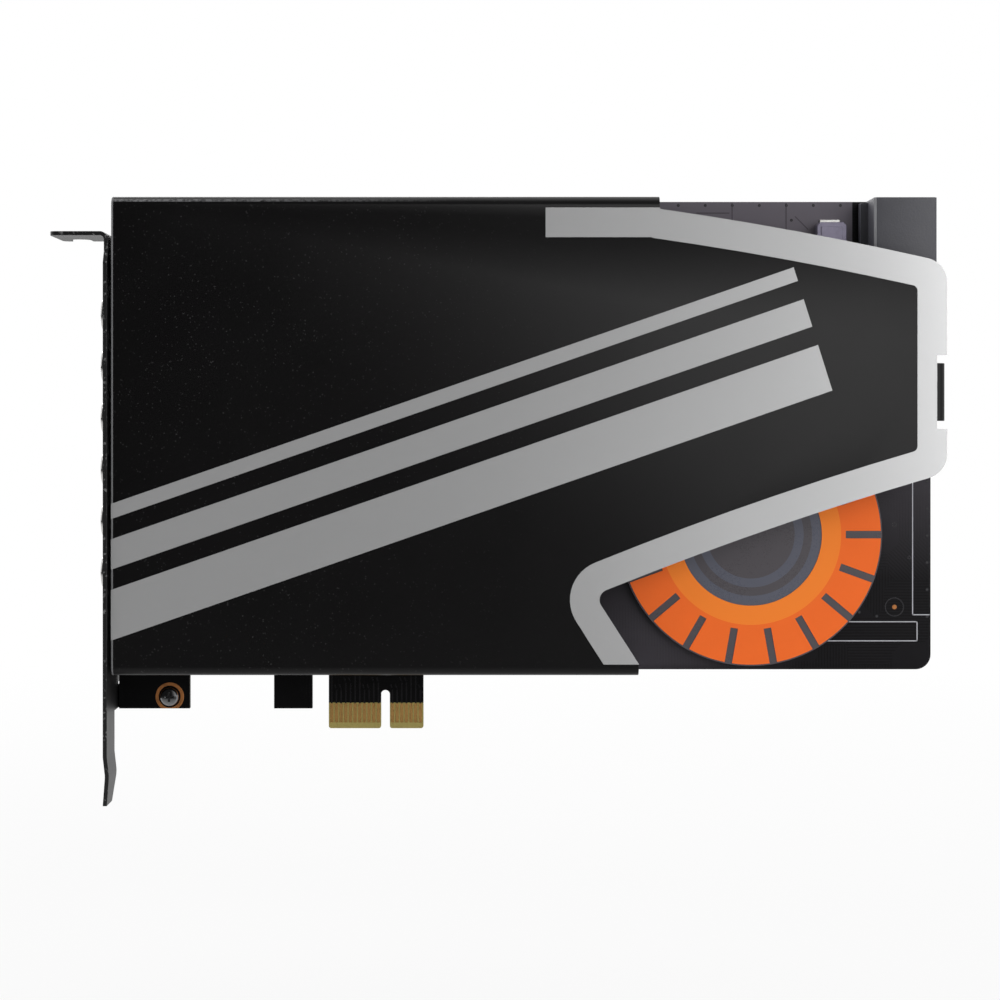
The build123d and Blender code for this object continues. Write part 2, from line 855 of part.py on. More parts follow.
# Chips: converters beside the cans, processor and its crystals to their right
for name, height in (("output_converter", output_converter_z), ("input_converter", input_converter_z)):
    build_chip(converter_x, height, converter_length, converter_width, converter_height, 0.0, name)
build_chip(
    amplifier_x,
    amplifier_z,
    amplifier_length,
    amplifier_width,
    amplifier_height,
    chip_lift,
    "headphone_amplifier",
)
build_chip(processor_x, jack_middle, processor_size, processor_size, processor_height, 0.0, "audio_processor")
build_chip(bridge_x, bridge_z, bridge_size, bridge_size, bridge_height, 0.0, "bridge_chip")


# Leads of the headphone amplifier, flat strips from the body's side to the board
with BuildPart() as amplifier_leads:
    row_spacing = amplifier_width + lead_length
    with BuildSketch(front_plane):
        with Locations((amplifier_x, amplifier_z)):
            with GridLocations(amplifier_pitch, row_spacing, amplifier_pins, 2):
                Rectangle(lead_width, lead_length)
    extrude(amount=chip_lift + lead_thickness)
save(amplifier_leads.part, "amplifier_leads")

# Crystals: a flat metal lid on a ceramic base
for number, height in enumerate(crystal_heights, start=1):
    with BuildPart() as crystal:
        with BuildSketch(front_plane):
            with Locations((crystal_x, height)):
                Rectangle(crystal_length, crystal_width)
        extrude(amount=crystal_flange_height)
        with BuildSketch(front_plane.offset(crystal_flange_height)):
            with Locations((crystal_x, height)):
                Rectangle(crystal_length - 2 * crystal_flange, crystal_width - 2 * crystal_flange)
        extrude(amount=crystal_height - crystal_flange_height)
    save(crystal.part, f"crystal_{number}")

# Supply cans and regulators above the light disc
with BuildPart() as supply_capacitors:
    with BuildSketch(front_plane):
        with Locations(*supply_can_places):
            Circle(supply_can_radius)
    extrude(amount=supply_can_height)
save(supply_capacitors.part, "supply_capacitors")
with BuildPart() as regulators:
    with BuildSketch(front_plane):
        with Locations(*regulator_places):
            Rectangle(regulator_length, regulator_width)
    extrude(amount=regulator_height)
    chamfer(regulators.faces().group_by(Axis.Y)[0].edges(), chip_edge)
save(regulators.part, "regulators")
with BuildPart() as regulator_tabs:
    tab_z = regulator_z + (regulator_width + regulator_tab_width) / 2
    with BuildSketch(front_plane):
        with Locations(*[(x, tab_z) for x, _ in regulator_places]):
            Rectangle(regulator_tab_length, regulator_tab_width)
    extrude(amount=regulator_tab_height)
save(regulator_tabs.part, "regulator_tabs")

# Ceramic capacitors beside the processor and chip resistors above the bridge chip
with BuildPart() as ceramic_capacitors:
    with BuildSketch(front_plane):
        with Locations((memory_side_x, jack_middle)):
            with GridLocations(chip_part_pitch, chip_part_pitch, chip_part_columns, chip_part_rows):
                Rectangle(chip_part_length, chip_part_width)
    extrude(amount=chip_part_height)
save(ceramic_capacitors.part, "ceramic_capacitors")
with BuildPart() as chip_resistors:
    with BuildSketch(front_plane):
        with Locations((bridge_x, bridge_side_z)):
            with GridLocations(chip_part_pitch, chip_part_pitch, chip_part_rows, 1):
                Rectangle(chip_part_length, chip_part_width)
    extrude(amount=chip_part_height / 2)
save(chip_resistors.part, "chip_resistors")
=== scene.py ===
"""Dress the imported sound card: finishes for every piece, fine detail on the board, studio and camera."""

import functools
import logging
import math
import random
from dataclasses import dataclass, field
from enum import Enum
from typing import Sequence, Union

import bmesh
import bpy
from mathutils import Euler, Matrix, Vector, geometry


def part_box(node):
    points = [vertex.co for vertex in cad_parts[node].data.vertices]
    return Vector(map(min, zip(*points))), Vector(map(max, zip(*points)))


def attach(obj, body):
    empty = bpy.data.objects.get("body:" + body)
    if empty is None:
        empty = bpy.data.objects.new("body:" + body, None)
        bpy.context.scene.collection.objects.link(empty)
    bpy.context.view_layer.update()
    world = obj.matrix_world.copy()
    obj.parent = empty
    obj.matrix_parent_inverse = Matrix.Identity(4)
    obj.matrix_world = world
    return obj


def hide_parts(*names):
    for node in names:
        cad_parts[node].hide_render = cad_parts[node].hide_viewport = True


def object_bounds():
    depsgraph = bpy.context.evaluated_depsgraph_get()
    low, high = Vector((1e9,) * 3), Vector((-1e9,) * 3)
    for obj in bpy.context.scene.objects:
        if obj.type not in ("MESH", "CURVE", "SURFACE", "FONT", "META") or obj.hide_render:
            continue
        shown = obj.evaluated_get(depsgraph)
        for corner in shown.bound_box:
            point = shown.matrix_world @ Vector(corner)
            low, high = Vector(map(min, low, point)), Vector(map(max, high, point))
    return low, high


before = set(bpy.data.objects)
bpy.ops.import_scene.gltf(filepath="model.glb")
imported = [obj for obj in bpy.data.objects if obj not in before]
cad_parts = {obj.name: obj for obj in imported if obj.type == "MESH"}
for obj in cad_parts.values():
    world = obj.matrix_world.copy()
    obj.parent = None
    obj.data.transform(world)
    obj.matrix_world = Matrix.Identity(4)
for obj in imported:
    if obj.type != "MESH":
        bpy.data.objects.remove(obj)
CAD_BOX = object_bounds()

LOG = logging.getLogger("sound_card")
MM = 0.001
SHORTEST_RUN = 0.05
MERGE_MM = 0.0015
SEAM_MM = 0.0005
FLAT_DEGREES = 0.4
WHITE = (1.0, 1.0, 1.0, 1.0)
BLACK = (0.0, 0.0, 0.0, 1.0)
RELAYS = ("relay_1", "relay_2")
SOCKETS = tuple(f"op_amp_socket_{number}" for number in range(1, 5))

# A span runs from a start to an end, a spot is an X and a Z on the board, and a run joins two spots.
Triple = tuple[float, float, float]
Color = Triple
Span = tuple[float, float]
Spot = tuple[float, float]
Run = tuple[Spot, Spot]
Value = Union["Wire", float, tuple]


class Face(Enum):
    """The two faces of the board, by the sign of their Y."""

    FRONT = -1
    BACK = 1


class Turn(Enum):
    """The axis that a lathe turns about."""

    X = (1.0, 0.0, 0.0)
    Y = (0.0, 1.0, 0.0)


class Wire:
    """A shader value that takes part in Python arithmetic."""

    def __init__(self, graph: "Graph", socket: bpy.types.NodeSocket) -> None:
        """Keep the socket and the graph that it belongs to."""
        self.graph = graph
        self.socket = socket

    def __add__(self, other: Value) -> "Wire":
        """Sum of two values."""
        return self.graph.math("ADD", self, other)

    __radd__ = __add__

    def __sub__(self, other: Value) -> "Wire":
        """Difference of two values."""
        return self.graph.math("SUBTRACT", self, other)

    def __rsub__(self, other: Value) -> "Wire":
        """Difference with the number first."""
        return self.graph.math("SUBTRACT", other, self)

    def __mul__(self, other: Value) -> "Wire":
        """Product of two values."""
        return self.graph.math("MULTIPLY", self, other)

    __rmul__ = __mul__

    def __gt__(self, other: Value) -> "Wire":
        """One where this value is the greater, else nought."""
        return self.graph.math("GREATER_THAN", self, other)

    def __lt__(self, other: Value) -> "Wire":
        """One where this value is the smaller, else nought."""
        return self.graph.math("LESS_THAN", self, other)

    def __abs__(self) -> "Wire":
        """Size without sign."""
        return self.graph.math("ABSOLUTE", self)

    def fraction(self) -> "Wire":
        """Part after the decimal point."""
        return self.graph.math("FRACT", self)

    def root(self) -> "Wire":
        """Square root."""
        return self.graph.math("SQRT", self)

    def larger(self, other: Value) -> "Wire":
        """The larger of two values."""
        return self.graph.math("MAXIMUM", self, other)

    def smaller(self, other: Value) -> "Wire":
        """The smaller of two values."""
        return self.graph.math("MINIMUM", self, other)

    def ramp(self, start: float, end: float) -> "Wire":
        """Nought at start, one at end, straight between and held outside."""
        return ((self - start) * (1.0 / (end - start))).larger(0.0).smaller(1.0)


class Graph:
    """A node tree, and the only place that adds nodes to it."""

    def __init__(self, tree: bpy.types.NodeTree) -> None:
        """Empty the tree and start afresh."""
        self.tree = tree
        tree.nodes.clear()

    def node(self, kind: str, settings: dict | None = None, sockets: dict | None = None) -> bpy.types.Node:
        """Add one node.

        Args:
            kind: Blender's name of the node type.
            settings: properties of the node, set first.
            sockets: values or wires of its inputs, by name or number.

        Returns:
            The new node.
        """
        made = self.tree.nodes.new(kind)
        for key, value in (settings or {}).items():
            setattr(made, key, value)
        for key, value in (sockets or {}).items():
            if isinstance(value, Wire):
                self.tree.links.new(value.socket, made.inputs[key])
            else:
                made.inputs[key].default_value = value
        return made

    def wire(
        self, kind: str, settings: dict | None = None, sockets: dict | None = None, output: int | str = 0
    ) -> Wire:
        """Add one node and return one of its outputs as a wire."""
        return Wire(self, self.node(kind, settings, sockets).outputs[output])

    def math(self, operation: str, *terms: Value) -> Wire:
        """Add one Math node."""
        return self.wire("ShaderNodeMath", {"operation": operation}, dict(enumerate(terms)))

    def mix(self, share: Value, first: Value, second: Value) -> Wire:
        """Blend two colours; a share of one gives the second."""
        colors = {0: share, 6: opaque(first), 7: opaque(second)}
        return self.wire("ShaderNodeMix", {"data_type": "RGBA"}, colors, output=2)

    def blend(self, share: Value, first: Wire, second: Wire) -> Wire:
        """Blend two shaders; a share of one gives the second."""
        return self.wire("ShaderNodeMixShader", None, {0: share, 1: first, 2: second})

    @functools.cached_property
    def point(self) -> Wire:
        """Object coordinates in millimetres."""
        place = self.wire("ShaderNodeTexCoord", output="Object")
        return self.stretch(place, (1.0 / MM,) * 3)

    @functools.cached_property
    def axes(self) -> tuple[Wire, Wire, Wire]:
        """X, Y and Z of the place, in millimetres."""
        split = self.node("ShaderNodeSeparateXYZ", None, {0: self.point})
        return tuple(Wire(self, output) for output in split.outputs)

    @functools.cached_property
    def normal(self) -> tuple[Wire, Wire, Wire]:
        """X, Y and Z of the surface's normal."""
        facing = self.wire("ShaderNodeNewGeometry", output="Normal")
        split = self.node("ShaderNodeSeparateXYZ", None, {0: facing})
        return tuple(Wire(self, output) for output in split.outputs)

    def stretch(self, vector: Wire, by: Triple) -> Wire:
        """Multiply a vector by a constant one."""
        return self.wire("ShaderNodeVectorMath", {"operation": "MULTIPLY"}, {0: vector, 1: by})

    def noise(self, per_mm: float, detail: float = 2.0, by: Triple | None = None) -> Wire:
        """Soft noise over the place.

        Args:
            per_mm: features a millimetre.
            detail: finer layers of the noise.
            by: stretch of the place along each axis.

        Returns:
            A value of about nought to one.
        """
        place = self.stretch(self.point, by) if by else self.point
        sockets = {"Vector": place, "Scale": per_mm, "Detail": detail, "Roughness": 0.55}
        return self.wire("ShaderNodeTexNoise", None, sockets)

    def cells(self, per_mm: float) -> Wire:
        """A random number for each small cell of the surface."""
        cell = self.wire("ShaderNodeTexVoronoi", None, {"Vector": self.point, "Scale": per_mm}, "Color")
        return self.wire("ShaderNodeSeparateColor", None, {0: cell})

    def bump(self, height: Wire, depth_mm: float, strength: float) -> Wire:
        """Turn a height of nought to one into a bumped normal of that depth."""
        sockets = {"Strength": strength, "Distance": depth_mm * MM, "Height": height}
        return self.wire("ShaderNodeBump", None, sockets)


def opaque(color: Value) -> Value:
    """Give a plain colour its alpha, and leave a wire as it is."""
    return (*color, 1.0) if isinstance(color, tuple) and len(color) == 3 else color


def tinted(color: Color, factor: float, lift: float = 0.0) -> Color:
    """A colour made lighter or darker by a factor, and then lifted."""
    return tuple(part * factor + lift for part in color)


@dataclass(frozen=True)
class Finish:
    """A finish of the card: the record's slot, a colour and how it shines."""

    slot: str
    color: Color
    roughness: float = 0.5
    metallic: float = 0.0
    specular: float = 0.5

    def dress(self, graph: Graph) -> dict[str, Wire]:
        """Make what varies over the surface.

        Args:
            graph: the material's node tree.

        Returns:
            Wires by the name of the shader's socket.
        """
        raise NotImplementedError

    def uneven(self, *spreads: tuple[Wire, float]) -> Wire:
        """Vary the roughness.

        Args:
            spreads: wires from nought to one, each with the change of roughness over its range.

        Returns:
            The varied roughness.
        """
        rough = self.roughness
        for wire, spread in spreads:
            rough = rough + (wire - 0.5) * spread
        return rough

    def material(self) -> bpy.types.Material:
        """Return this finish's material, made once."""
        return make_material(self)


@functools.cache
def make_material(finish: Finish) -> bpy.types.Material:
    """Build the material of a finish.

    Args:
        finish: the finish to build.

    Returns:
        The new material.
    """
    made = bpy.data.materials.new(f"{finish.slot}_{type(finish).__name__}")
    made.use_nodes = True
    graph = Graph(made.node_tree)
    sockets = {
        "Base Color": opaque(finish.color),
        "Roughness": finish.roughness,
        "Metallic": finish.metallic,
        "Specular IOR Level": finish.specular,
    }
    sockets.update(finish.dress(graph))
    surface = graph.wire("ShaderNodeBsdfPrincipled", None, sockets)
    graph.node("ShaderNodeOutputMaterial", None, {"Surface": surface})
    return made


@dataclass(frozen=True)
class PowderCoat(Finish):
    """Black paint on sheet metal: fine grain, bright flecks, and painted highlights along the fold and at
    the cut edge.
    """

    fleck: float = 0.022
    fleck_share: float = 0.025
    flecks_per_mm: float = 4.2
    fleck_patches: Span = (0.40, 0.62)
    fleck_fade_x: Span = (45.0, -15.0)
    # Painted highlight along the front-facing fold: its strength, the tilt of its band, its patches and its
    # fade along X.
    fold_highlight: float = 0.0
    fold_highlight_tilt: Span = (0.40, 0.68)
    fold_highlight_patches: Span = (0.30, 0.60)
    fold_highlight_fade_x: Span = (15.0, -50.0)
    # Painted highlight at the cut edge: left of this X the cover turns to the grey below.
    cut_edge_highlight_below_x: float = -1000.0
    # Grey of the painted highlights at the cut edge and along the fold.
    bare: Color = (0.17, 0.17, 0.175)
    grain_per_mm: float = 4.0
    grain_mm: float = 0.012
    cloud_per_mm: float = 0.05

    def dress(self, graph: Graph) -> dict[str, Wire]:
        """Grain, flecks, and the painted highlights along the fold and at the cut edge."""
        x, _, _ = graph.axes
        _, to_back, upwards = graph.normal
        grain = graph.noise(self.grain_per_mm, 4.0)
        cloud = graph.noise(self.cloud_per_mm, 3.0)
        flecks = (graph.cells(self.flecks_per_mm) > 1.0 - self.fleck_share) * (to_back < -0.5)
        flecks = flecks * graph.noise(0.9, 1.0).ramp(*self.fleck_patches) * x.ramp(*self.fleck_fade_x)
        painted = graph.mix(cloud * 0.5, self.color, tinted(self.color, 1.6))
        painted = graph.mix(flecks, painted, tinted(self.color, 1.0, self.fleck))
        # Painted highlight: where the fold faces up and forward, a band turns to the pale grey, in patches,
        # stronger towards the left.
        fold = (upwards > self.fold_highlight_tilt[0]) * (upwards < self.fold_highlight_tilt[1]) * (to_back < -0.2)
        rubbed = fold * x.ramp(*self.fold_highlight_fade_x) * graph.noise(1.5).ramp(*self.fold_highlight_patches)
        painted = graph.mix(rubbed * self.fold_highlight, painted, self.bare)
        return {
            # Painted highlight: a thin strip at the cover's left cut edge turns grey.
            "Base Color": graph.mix(x < self.cut_edge_highlight_below_x, painted, self.bare),
            "Roughness": self.uneven((grain, 0.16), (cloud, 0.08)),
            "Normal": graph.bump(grain, self.grain_mm, 0.55),
        }


@dataclass(frozen=True)
class SilverInk(Finish):
    """Screen print with metal flake in it."""

    flakes_per_mm: float = 9.0
    flake_share: float = 0.04
    cloud_per_mm: float = 0.08
    cloud_share: float = 0.4
    skin_per_mm: float = 1.2
    skin_mm: float = 0.002

    def dress(self, graph: Graph) -> dict[str, Wire]:
        """Flake and the faint unevenness of a print."""
        flake = graph.cells(self.flakes_per_mm)
        cloud = graph.noise(self.cloud_per_mm, 3.0)
        shaded = flake * self.flake_share + cloud * self.cloud_share
        return {
            "Base Color": graph.mix(shaded, self.color, tinted(self.color, 0.86)),
            "Roughness": self.uneven((cloud, 0.04)),
            "Normal": graph.bump(graph.noise(self.skin_per_mm), self.skin_mm, 0.3),
        }


@dataclass(frozen=True)
class Moulded(Finish):
    """Moulded plastic with the fine texture of its mould."""

    texture_per_mm: float = 5.0
    texture_mm: float = 0.02
    flow_per_mm: float = 0.35
    worn: float = 0.25
    worn_patches: Span = (0.35, 0.75)
    # Painted highlight on the edges between the left face and the front or back: its share and its colour.
    edge_highlight_share: float = 0.0
    edge_highlight_color: Color = (0.42, 0.42, 0.44)
    # Painted highlight: how far faces that look to the left turn paler.
    cheek_highlight: float = 0.0

    def dress(self, graph: Graph) -> dict[str, Wire]:
        """Mould texture, faint flow marks, handling shine, a painted highlight on the left cheek and
        another on its edge.
        """
        texture = graph.noise(self.texture_per_mm, 3.0)
        flow = graph.noise(self.flow_per_mm, 4.0)
        handled = flow.ramp(*self.worn_patches) * self.worn + texture * 0.12
        ground = graph.mix(handled, self.color, tinted(self.color, 1.5, 0.006))
        across, along, _ = graph.normal
        # Painted highlight: faces that look to the left turn paler.
        cheek = (across < -0.8) * self.cheek_highlight
        ground = graph.mix(cheek, ground, tinted(self.color, 2.6))
        # Painted highlight: edges where the left face meets the front or back turn bright.
        edge = (across < -0.4) * (abs(along) > 0.4)
        return {
            "Base Color": graph.mix(edge * self.edge_highlight_share, ground, self.edge_highlight_color),
            "Roughness": self.uneven((flow, 0.22), (texture, 0.12)),
            "Normal": graph.bump(texture, self.texture_mm, 0.6),
        }


@dataclass(frozen=True)
class Plated(Finish):
    """Plated or drawn metal with fine draw marks and a trace of tarnish."""

    tarnish: Color = (0.30, 0.26, 0.20)
    tarnish_share: float = 0.45
    tarnish_patches: Span = (0.48, 0.80)
    patches_per_mm: float = 0.7
    drawn: Triple = (1.0, 0.12, 1.0)
    marks_per_mm: float = 7.0
    marks_mm: float = 0.006

    def dress(self, graph: Graph) -> dict[str, Wire]:
        """Draw marks, tarnish in patches and uneven shine."""
        marks = graph.noise(self.marks_per_mm, 3.0, self.drawn)
        patch = graph.noise(self.patches_per_mm, 4.0)
        dulled = patch.ramp(*self.tarnish_patches) * self.tarnish_share + marks * 0.08
        return {
            "Base Color": graph.mix(dulled, self.color, self.tarnish),
            "Roughness": self.uneven((marks, 0.22), (patch, 0.12)),
            "Normal": graph.bump(marks, self.marks_mm, 0.5),
        }


@dataclass(frozen=True)
class SheenPatch:
    """A patch of the board's front where a sheen is painted in, as a paler colour over the mask."""

    up: Span
    across: tuple[Span, ...]
    strength: float = 1.0

    def share(self, graph: Graph) -> Wire:
        """How strongly the patch shows at each place.

        Args:
            graph: the material's node tree.

        Returns:
            The share, from nought to the patch's strength.
        """
        x, _, z = graph.axes
        shown = z.ramp(*self.up) * self.strength
        for span in self.across:
            shown = shown * x.ramp(*span)
        return shown


@dataclass(frozen=True)
class SolderMask(Finish):
    """Black solder mask over copper: pours, bundles of tracks and a bare laminate edge, with painted sheen
    in patches on the front and painted shade towards the bottom and beside the header.
    """

    over_copper: Color = (0.0058, 0.0052, 0.0066)
    # Painted sheen: the pale colour that the front turns to in the patches below, at the top, the right and
    # the lower right.
    painted_sheen: Color = (0.130, 0.118, 0.138)
    sheen_patches: tuple[SheenPatch, ...] = (
        SheenPatch((84.0, 104.0), ((20.0, 60.0),)),
        SheenPatch((32.0, 52.0), ((85.0, 100.0),), 0.28),
        SheenPatch((40.0, 20.0), ((90.0, 55.0), (42.0, 47.0)), 0.34),
    )
    back_copper: Color = (0.0100, 0.0096, 0.0112)
    laminate: Color = (0.125, 0.112, 0.042)
    plies_per_mm: float = 4.0
    bare_laminate: tuple[Color, Color] = ((0.225, 0.18, 0.062), (0.48, 0.41, 0.13))
    window_top: float = 5.55
    tongue_x: float = -2.0
    tongue_half: float = 10.4
    # Painted shade: the board turns near black towards its bottom edge, over this span of Z.
    bottom_shade: Color = (0.0002, 0.0002, 0.0002)
    bottom_shade_fade_z: Span = (14.0, 11.5)
    # Painted shade: past this X and above this Z, beside the header, the front gets no painted sheen and
    # stays dark.
    header_shade_x: float = 100.2
    header_shade_foot: float = 95.0
    track_pitch: float = 0.62
    track_half: float = 0.27
    region_mm: float = 8.5
    back_shift: float = 57.0
    level_below: float = 0.16
    upright_below: float = 0.32
    slanted_below: float = 0.42

    def tracks(self, along: Wire) -> Wire:
        """One where a bundle of parallel tracks has copper, across the given measure."""
        return abs((along * (1.0 / self.track_pitch)).fraction() - 0.5) < self.track_half

    def copper(self, graph: Graph) -> Wire:
        """Copper under the mask: in each region a pour or tracks in one of three directions.

        Args:
            graph: the material's node tree.

        Returns:
            One over copper, else nought.
        """
        x, y, z = graph.axes
        side = (y > 0.0) * self.back_shift
        flat = graph.wire("ShaderNodeCombineXYZ", None, {0: x + side, 1: z + side})
        settings = {"voronoi_dimensions": "2D", "distance": "CHEBYCHEV"}
        sockets = {"Vector": flat, "Scale": 1.0 / self.region_mm, "Randomness": 0.85}
        region = graph.wire("ShaderNodeTexVoronoi", settings, sockets, "Color")
        draw = graph.wire("ShaderNodeSeparateColor", None, {0: region})
        level = draw < self.level_below
        upright = (draw < self.upright_below) - level
        slanted = (draw < self.slanted_below) - (draw < self.upright_below)
        pour = draw > self.slanted_below
        slope = (x + z) * math.sqrt(0.5)
        return self.tracks(z) * level + self.tracks(x) * upright + self.tracks(slope) * slanted + pour

    def dress(self, graph: Graph) -> dict[str, Wire]:
        """Mask over copper with painted sheen and painted shade, laminate at the edges and in the window of
        the contacts.
        """
        x, y, z = graph.axes
        copper = self.copper(graph)
        cloud = graph.noise(0.12, 4.0)
        over_copper = graph.mix(y > 0.0, self.over_copper, self.back_copper)
        mask = graph.mix(copper * 0.75 + cloud * 0.2, self.color, over_copper)
        # Painted shade: a dark stripe along the header's left side, where the painted sheen is left out.
        outside_header_shade = 1.0 - (x > self.header_shade_x) * (z > self.header_shade_foot)
        # Painted sheen: soft patches of the front turn paler, except beside the header.
        pale = functools.reduce(Wire.larger, (patch.share(graph) for patch in self.sheen_patches))
        mask = graph.mix((y < 0.0) * outside_header_shade * pale, mask, self.painted_sheen)
        # Painted shade: on both faces the mask darkens most of the way to near black below 14 mm, fully so
        # by 11.5 mm.
        mask = graph.mix(z.ramp(*self.bottom_shade_fade_z) * 0.8, mask, self.bottom_shade)
        edge = abs(graph.normal[1]) < 0.5
        plies = (abs(y) * self.plies_per_mm).fraction() > 0.5
        board = graph.mix(plies * 0.5, self.laminate, tinted(self.laminate, 0.55))
        color = graph.mix(edge, mask, graph.mix(0.85, board, self.color))
        on_tongue = (z < self.window_top) * (abs(x - self.tongue_x) < self.tongue_half)
        weave = graph.noise(1.6, 2.0, (1.0, 1.0, 3.0))
        color = graph.mix(on_tongue, color, graph.mix(weave * 0.6, *self.bare_laminate))
        return {
            "Base Color": color,
            "Roughness": self.uneven((cloud, 0.12)) + edge * 0.25 - copper * 0.03,
            "Normal": graph.bump(copper * (1.0 - edge), 0.02, 0.3),
        }


@dataclass(frozen=True)
class ContactGold(Finish):
    """Gold on the edge contacts, with the lengthwise rub marks of a slot."""

    rubbed: Color = (0.38, 0.20, 0.065)
    rub_marks: Span = (0.42, 0.72)
    marks_per_mm: float = 9.0
    marks_mm: float = 0.004
    drawn: Triple = (1.0, 1.0, 0.06)
    dull_foot_z: Span = (2.4, 1.2)

    def dress(self, graph: Graph) -> dict[str, Wire]:
        """Rub marks along the contact and a duller foot."""
        marks = graph.noise(self.marks_per_mm, 3.0, self.drawn)
        foot = graph.axes[2].ramp(*self.dull_foot_z)
        dulled = marks.ramp(*self.rub_marks) * 0.7 + foot * 0.25
        return {
            "Base Color": graph.mix(dulled, self.color, self.rubbed),
            "Roughness": self.uneven((marks, 0.3)),
            "Normal": graph.bump(marks, self.marks_mm, 0.5),
        }


@dataclass(frozen=True)
class RingPrint(Finish):
    """Print in rings about a centre: one colour, with bands of another."""

    centre: Spot = (0.0, 0.0)
    inner: Color = (0.5, 0.5, 0.5)
    band: Span = (0.0, 1.0)
    thin_band: Span = (0.0, 0.0)
    grain: float = 0.10
    grain_per_mm: float = 7.0
    skin_per_mm: float = 5.0
    skin_mm: float = 0.005

    def dress(self, graph: Graph) -> dict[str, Wire]:
        """The bands, the grain of the print and soft unevenness."""
        x, _, z = graph.axes
        across = x - self.centre[0]
        up = z - self.centre[1]
        radius = (across * across + up * up).root()
        bands = ((radius > start) * (radius < end) for start, end in (self.band, self.thin_band))
        cloud = graph.noise(0.15, 4.0)
        grain = graph.cells(self.grain_per_mm)
        ground = graph.mix(cloud * 0.35 + grain * self.grain, self.color, tinted(self.color, 0.8))
        return {
            "Base Color": graph.mix(functools.reduce(Wire.__add__, bands), ground, self.inner),
            "Roughness": self.uneven((cloud, 0.15), (grain, 0.05)),
            "Normal": graph.bump(graph.noise(self.skin_per_mm), self.skin_mm, 0.4),
        }


def frame_centre(node: str) -> Vector:
    """Middle of a node's box, in metres."""
    low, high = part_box(node)
    return (low + high) / 2


DISC = frame_centre("light_disc") / MM
COVER_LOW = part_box("shield_cover")[0] / MM
BOARD_LOW, BOARD_HIGH = (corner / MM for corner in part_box("circuit_board"))
TAB_FOOT = 4.3
AIM_MARK = (109.25, 26.07)
# Width of the painted highlight at the cover's left cut edge.
CUT_EDGE_HIGHLIGHT_MM = 0.4

# The cover carries painted highlights along its fold and at its left cut edge.
COVER_BLACK = PowderCoat(
    "cover_black", (0.0021, 0.0019, 0.0021), 0.36, specular=0.17, fold_highlight=0.95,
    cut_edge_highlight_below_x=COVER_LOW.x + CUT_EDGE_HIGHLIGHT_MM,
)
BRACKET_BLACK = PowderCoat(
    "bracket_black", (0.003, 0.003, 0.0032), 0.45, specular=0.40, fleck=0.12, fleck_share=0.12,
    flecks_per_mm=2.4,
)
SCREW_BLACK = Plated("screw_black", (0.20, 0.20, 0.205), 0.12, 1.0, tarnish=(0.05, 0.05, 0.05))
PRINT_SILVER = SilverInk("print_silver", (0.62, 0.622, 0.625), 0.20, 0.54)
BOARD_MASK = SolderMask("board_mask", (0.0016, 0.0014, 0.0018), 0.36, specular=0.11)
TRACK_MASK = Moulded("board_mask", (0.013, 0.012, 0.015), 0.34, specular=0.30, texture_mm=0.003)
# Painted shade: a darker copy of the track mask, for the tracks on the board's shaded bottom.
SHADED_TONGUE_TRACK = Moulded("board_mask", (0.0055, 0.0052, 0.0060), 0.34, specular=0.14, texture_mm=0.003)
POUR_GAP = Moulded("board_mask", (0.070, 0.063, 0.074), 0.36, specular=0.11, texture_mm=0.003, worn=0.1)
CONTACT_GOLD = ContactGold("gold_contact", (0.82, 0.48, 0.165), 0.30, 1.0)
BARE_COPPER = Plated("bare_copper", (0.42, 0.165, 0.05), 0.42, 0.7, tarnish=(0.035, 0.014, 0.006))
SILK_WHITE = Moulded("hub_grey", (0.46, 0.46, 0.50), 0.65, texture_mm=0.004)
POST_STEEL = Plated("post_steel", (0.58, 0.57, 0.54), 0.26, 1.0)
SCREW_STEEL = Plated("screw_steel", (0.50, 0.50, 0.50), 0.26, 1.0, tarnish=(0.25, 0.24, 0.22))
TIN_PLATE = Plated("tin_plate", (0.62, 0.62, 0.60), 0.30, 1.0)
INDUCTOR_SHELL = Plated("inductor_shell", (0.195, 0.18, 0.24), 0.40, 0.6, tarnish=(0.12, 0.11, 0.16))
SLEEVE_NICKEL = Plated("sleeve_nickel", (0.62, 0.61, 0.60), 0.18, 1.0, tarnish=(0.42, 0.41, 0.39))
SMOKED = RingPrint(
    "smoked_plastic", (0.083, 0.075, 0.084), 0.30, centre=(DISC.x, DISC.z), inner=(0.098, 0.102, 0.132),
    band=(13.1, 15.4), thin_band=(9.4, 11.3), specular=0.3,
)
ORANGE = RingPrint(
    "orange_print", (0.96, 0.162, 0.022), 0.42, centre=(DISC.x, DISC.z), inner=(0.96, 0.238, 0.027),
    band=(0.0, 19.3), grain=0.06, specular=0.15,
)
LAMP = Moulded("lamp_white", (0.75, 0.73, 0.62), 0.3)
# The header's left cheek and its edge carry painted highlights.
HEADER_GREY = Moulded(
    "header_grey", (0.049, 0.049, 0.058), 0.5, texture_per_mm=2.2, texture_mm=0.05, edge_highlight_share=0.6,
    cheek_highlight=1.0,
)
JACK_BLACK = Moulded("jack_black", (0.014, 0.014, 0.015), 0.42)
FILM_RED = Moulded("film_box", (0.36, 0.030, 0.022), 0.38, texture_mm=0.01)
COUPLING_GREY = Moulded("coupling_box", (0.10, 0.13, 0.17), 0.40, texture_mm=0.01)
SOCKET_BLACK = Moulded("socket_black", (0.018, 0.018, 0.019), 0.48)
CHIP_BLACK = Moulded("chip_black", (0.020, 0.020, 0.022), 0.55, texture_per_mm=9.0, texture_mm=0.015)
CAN_SLEEVE = Moulded("can_sleeve", (0.020, 0.026, 0.024), 0.26, texture_mm=0.004)
CAN_STRIPE = Moulded("can_sleeve", (0.42, 0.36, 0.18), 0.30, texture_mm=0.004)
CAN_TOP = Plated("can_sleeve", (0.66, 0.66, 0.67), 0.30, 1.0)
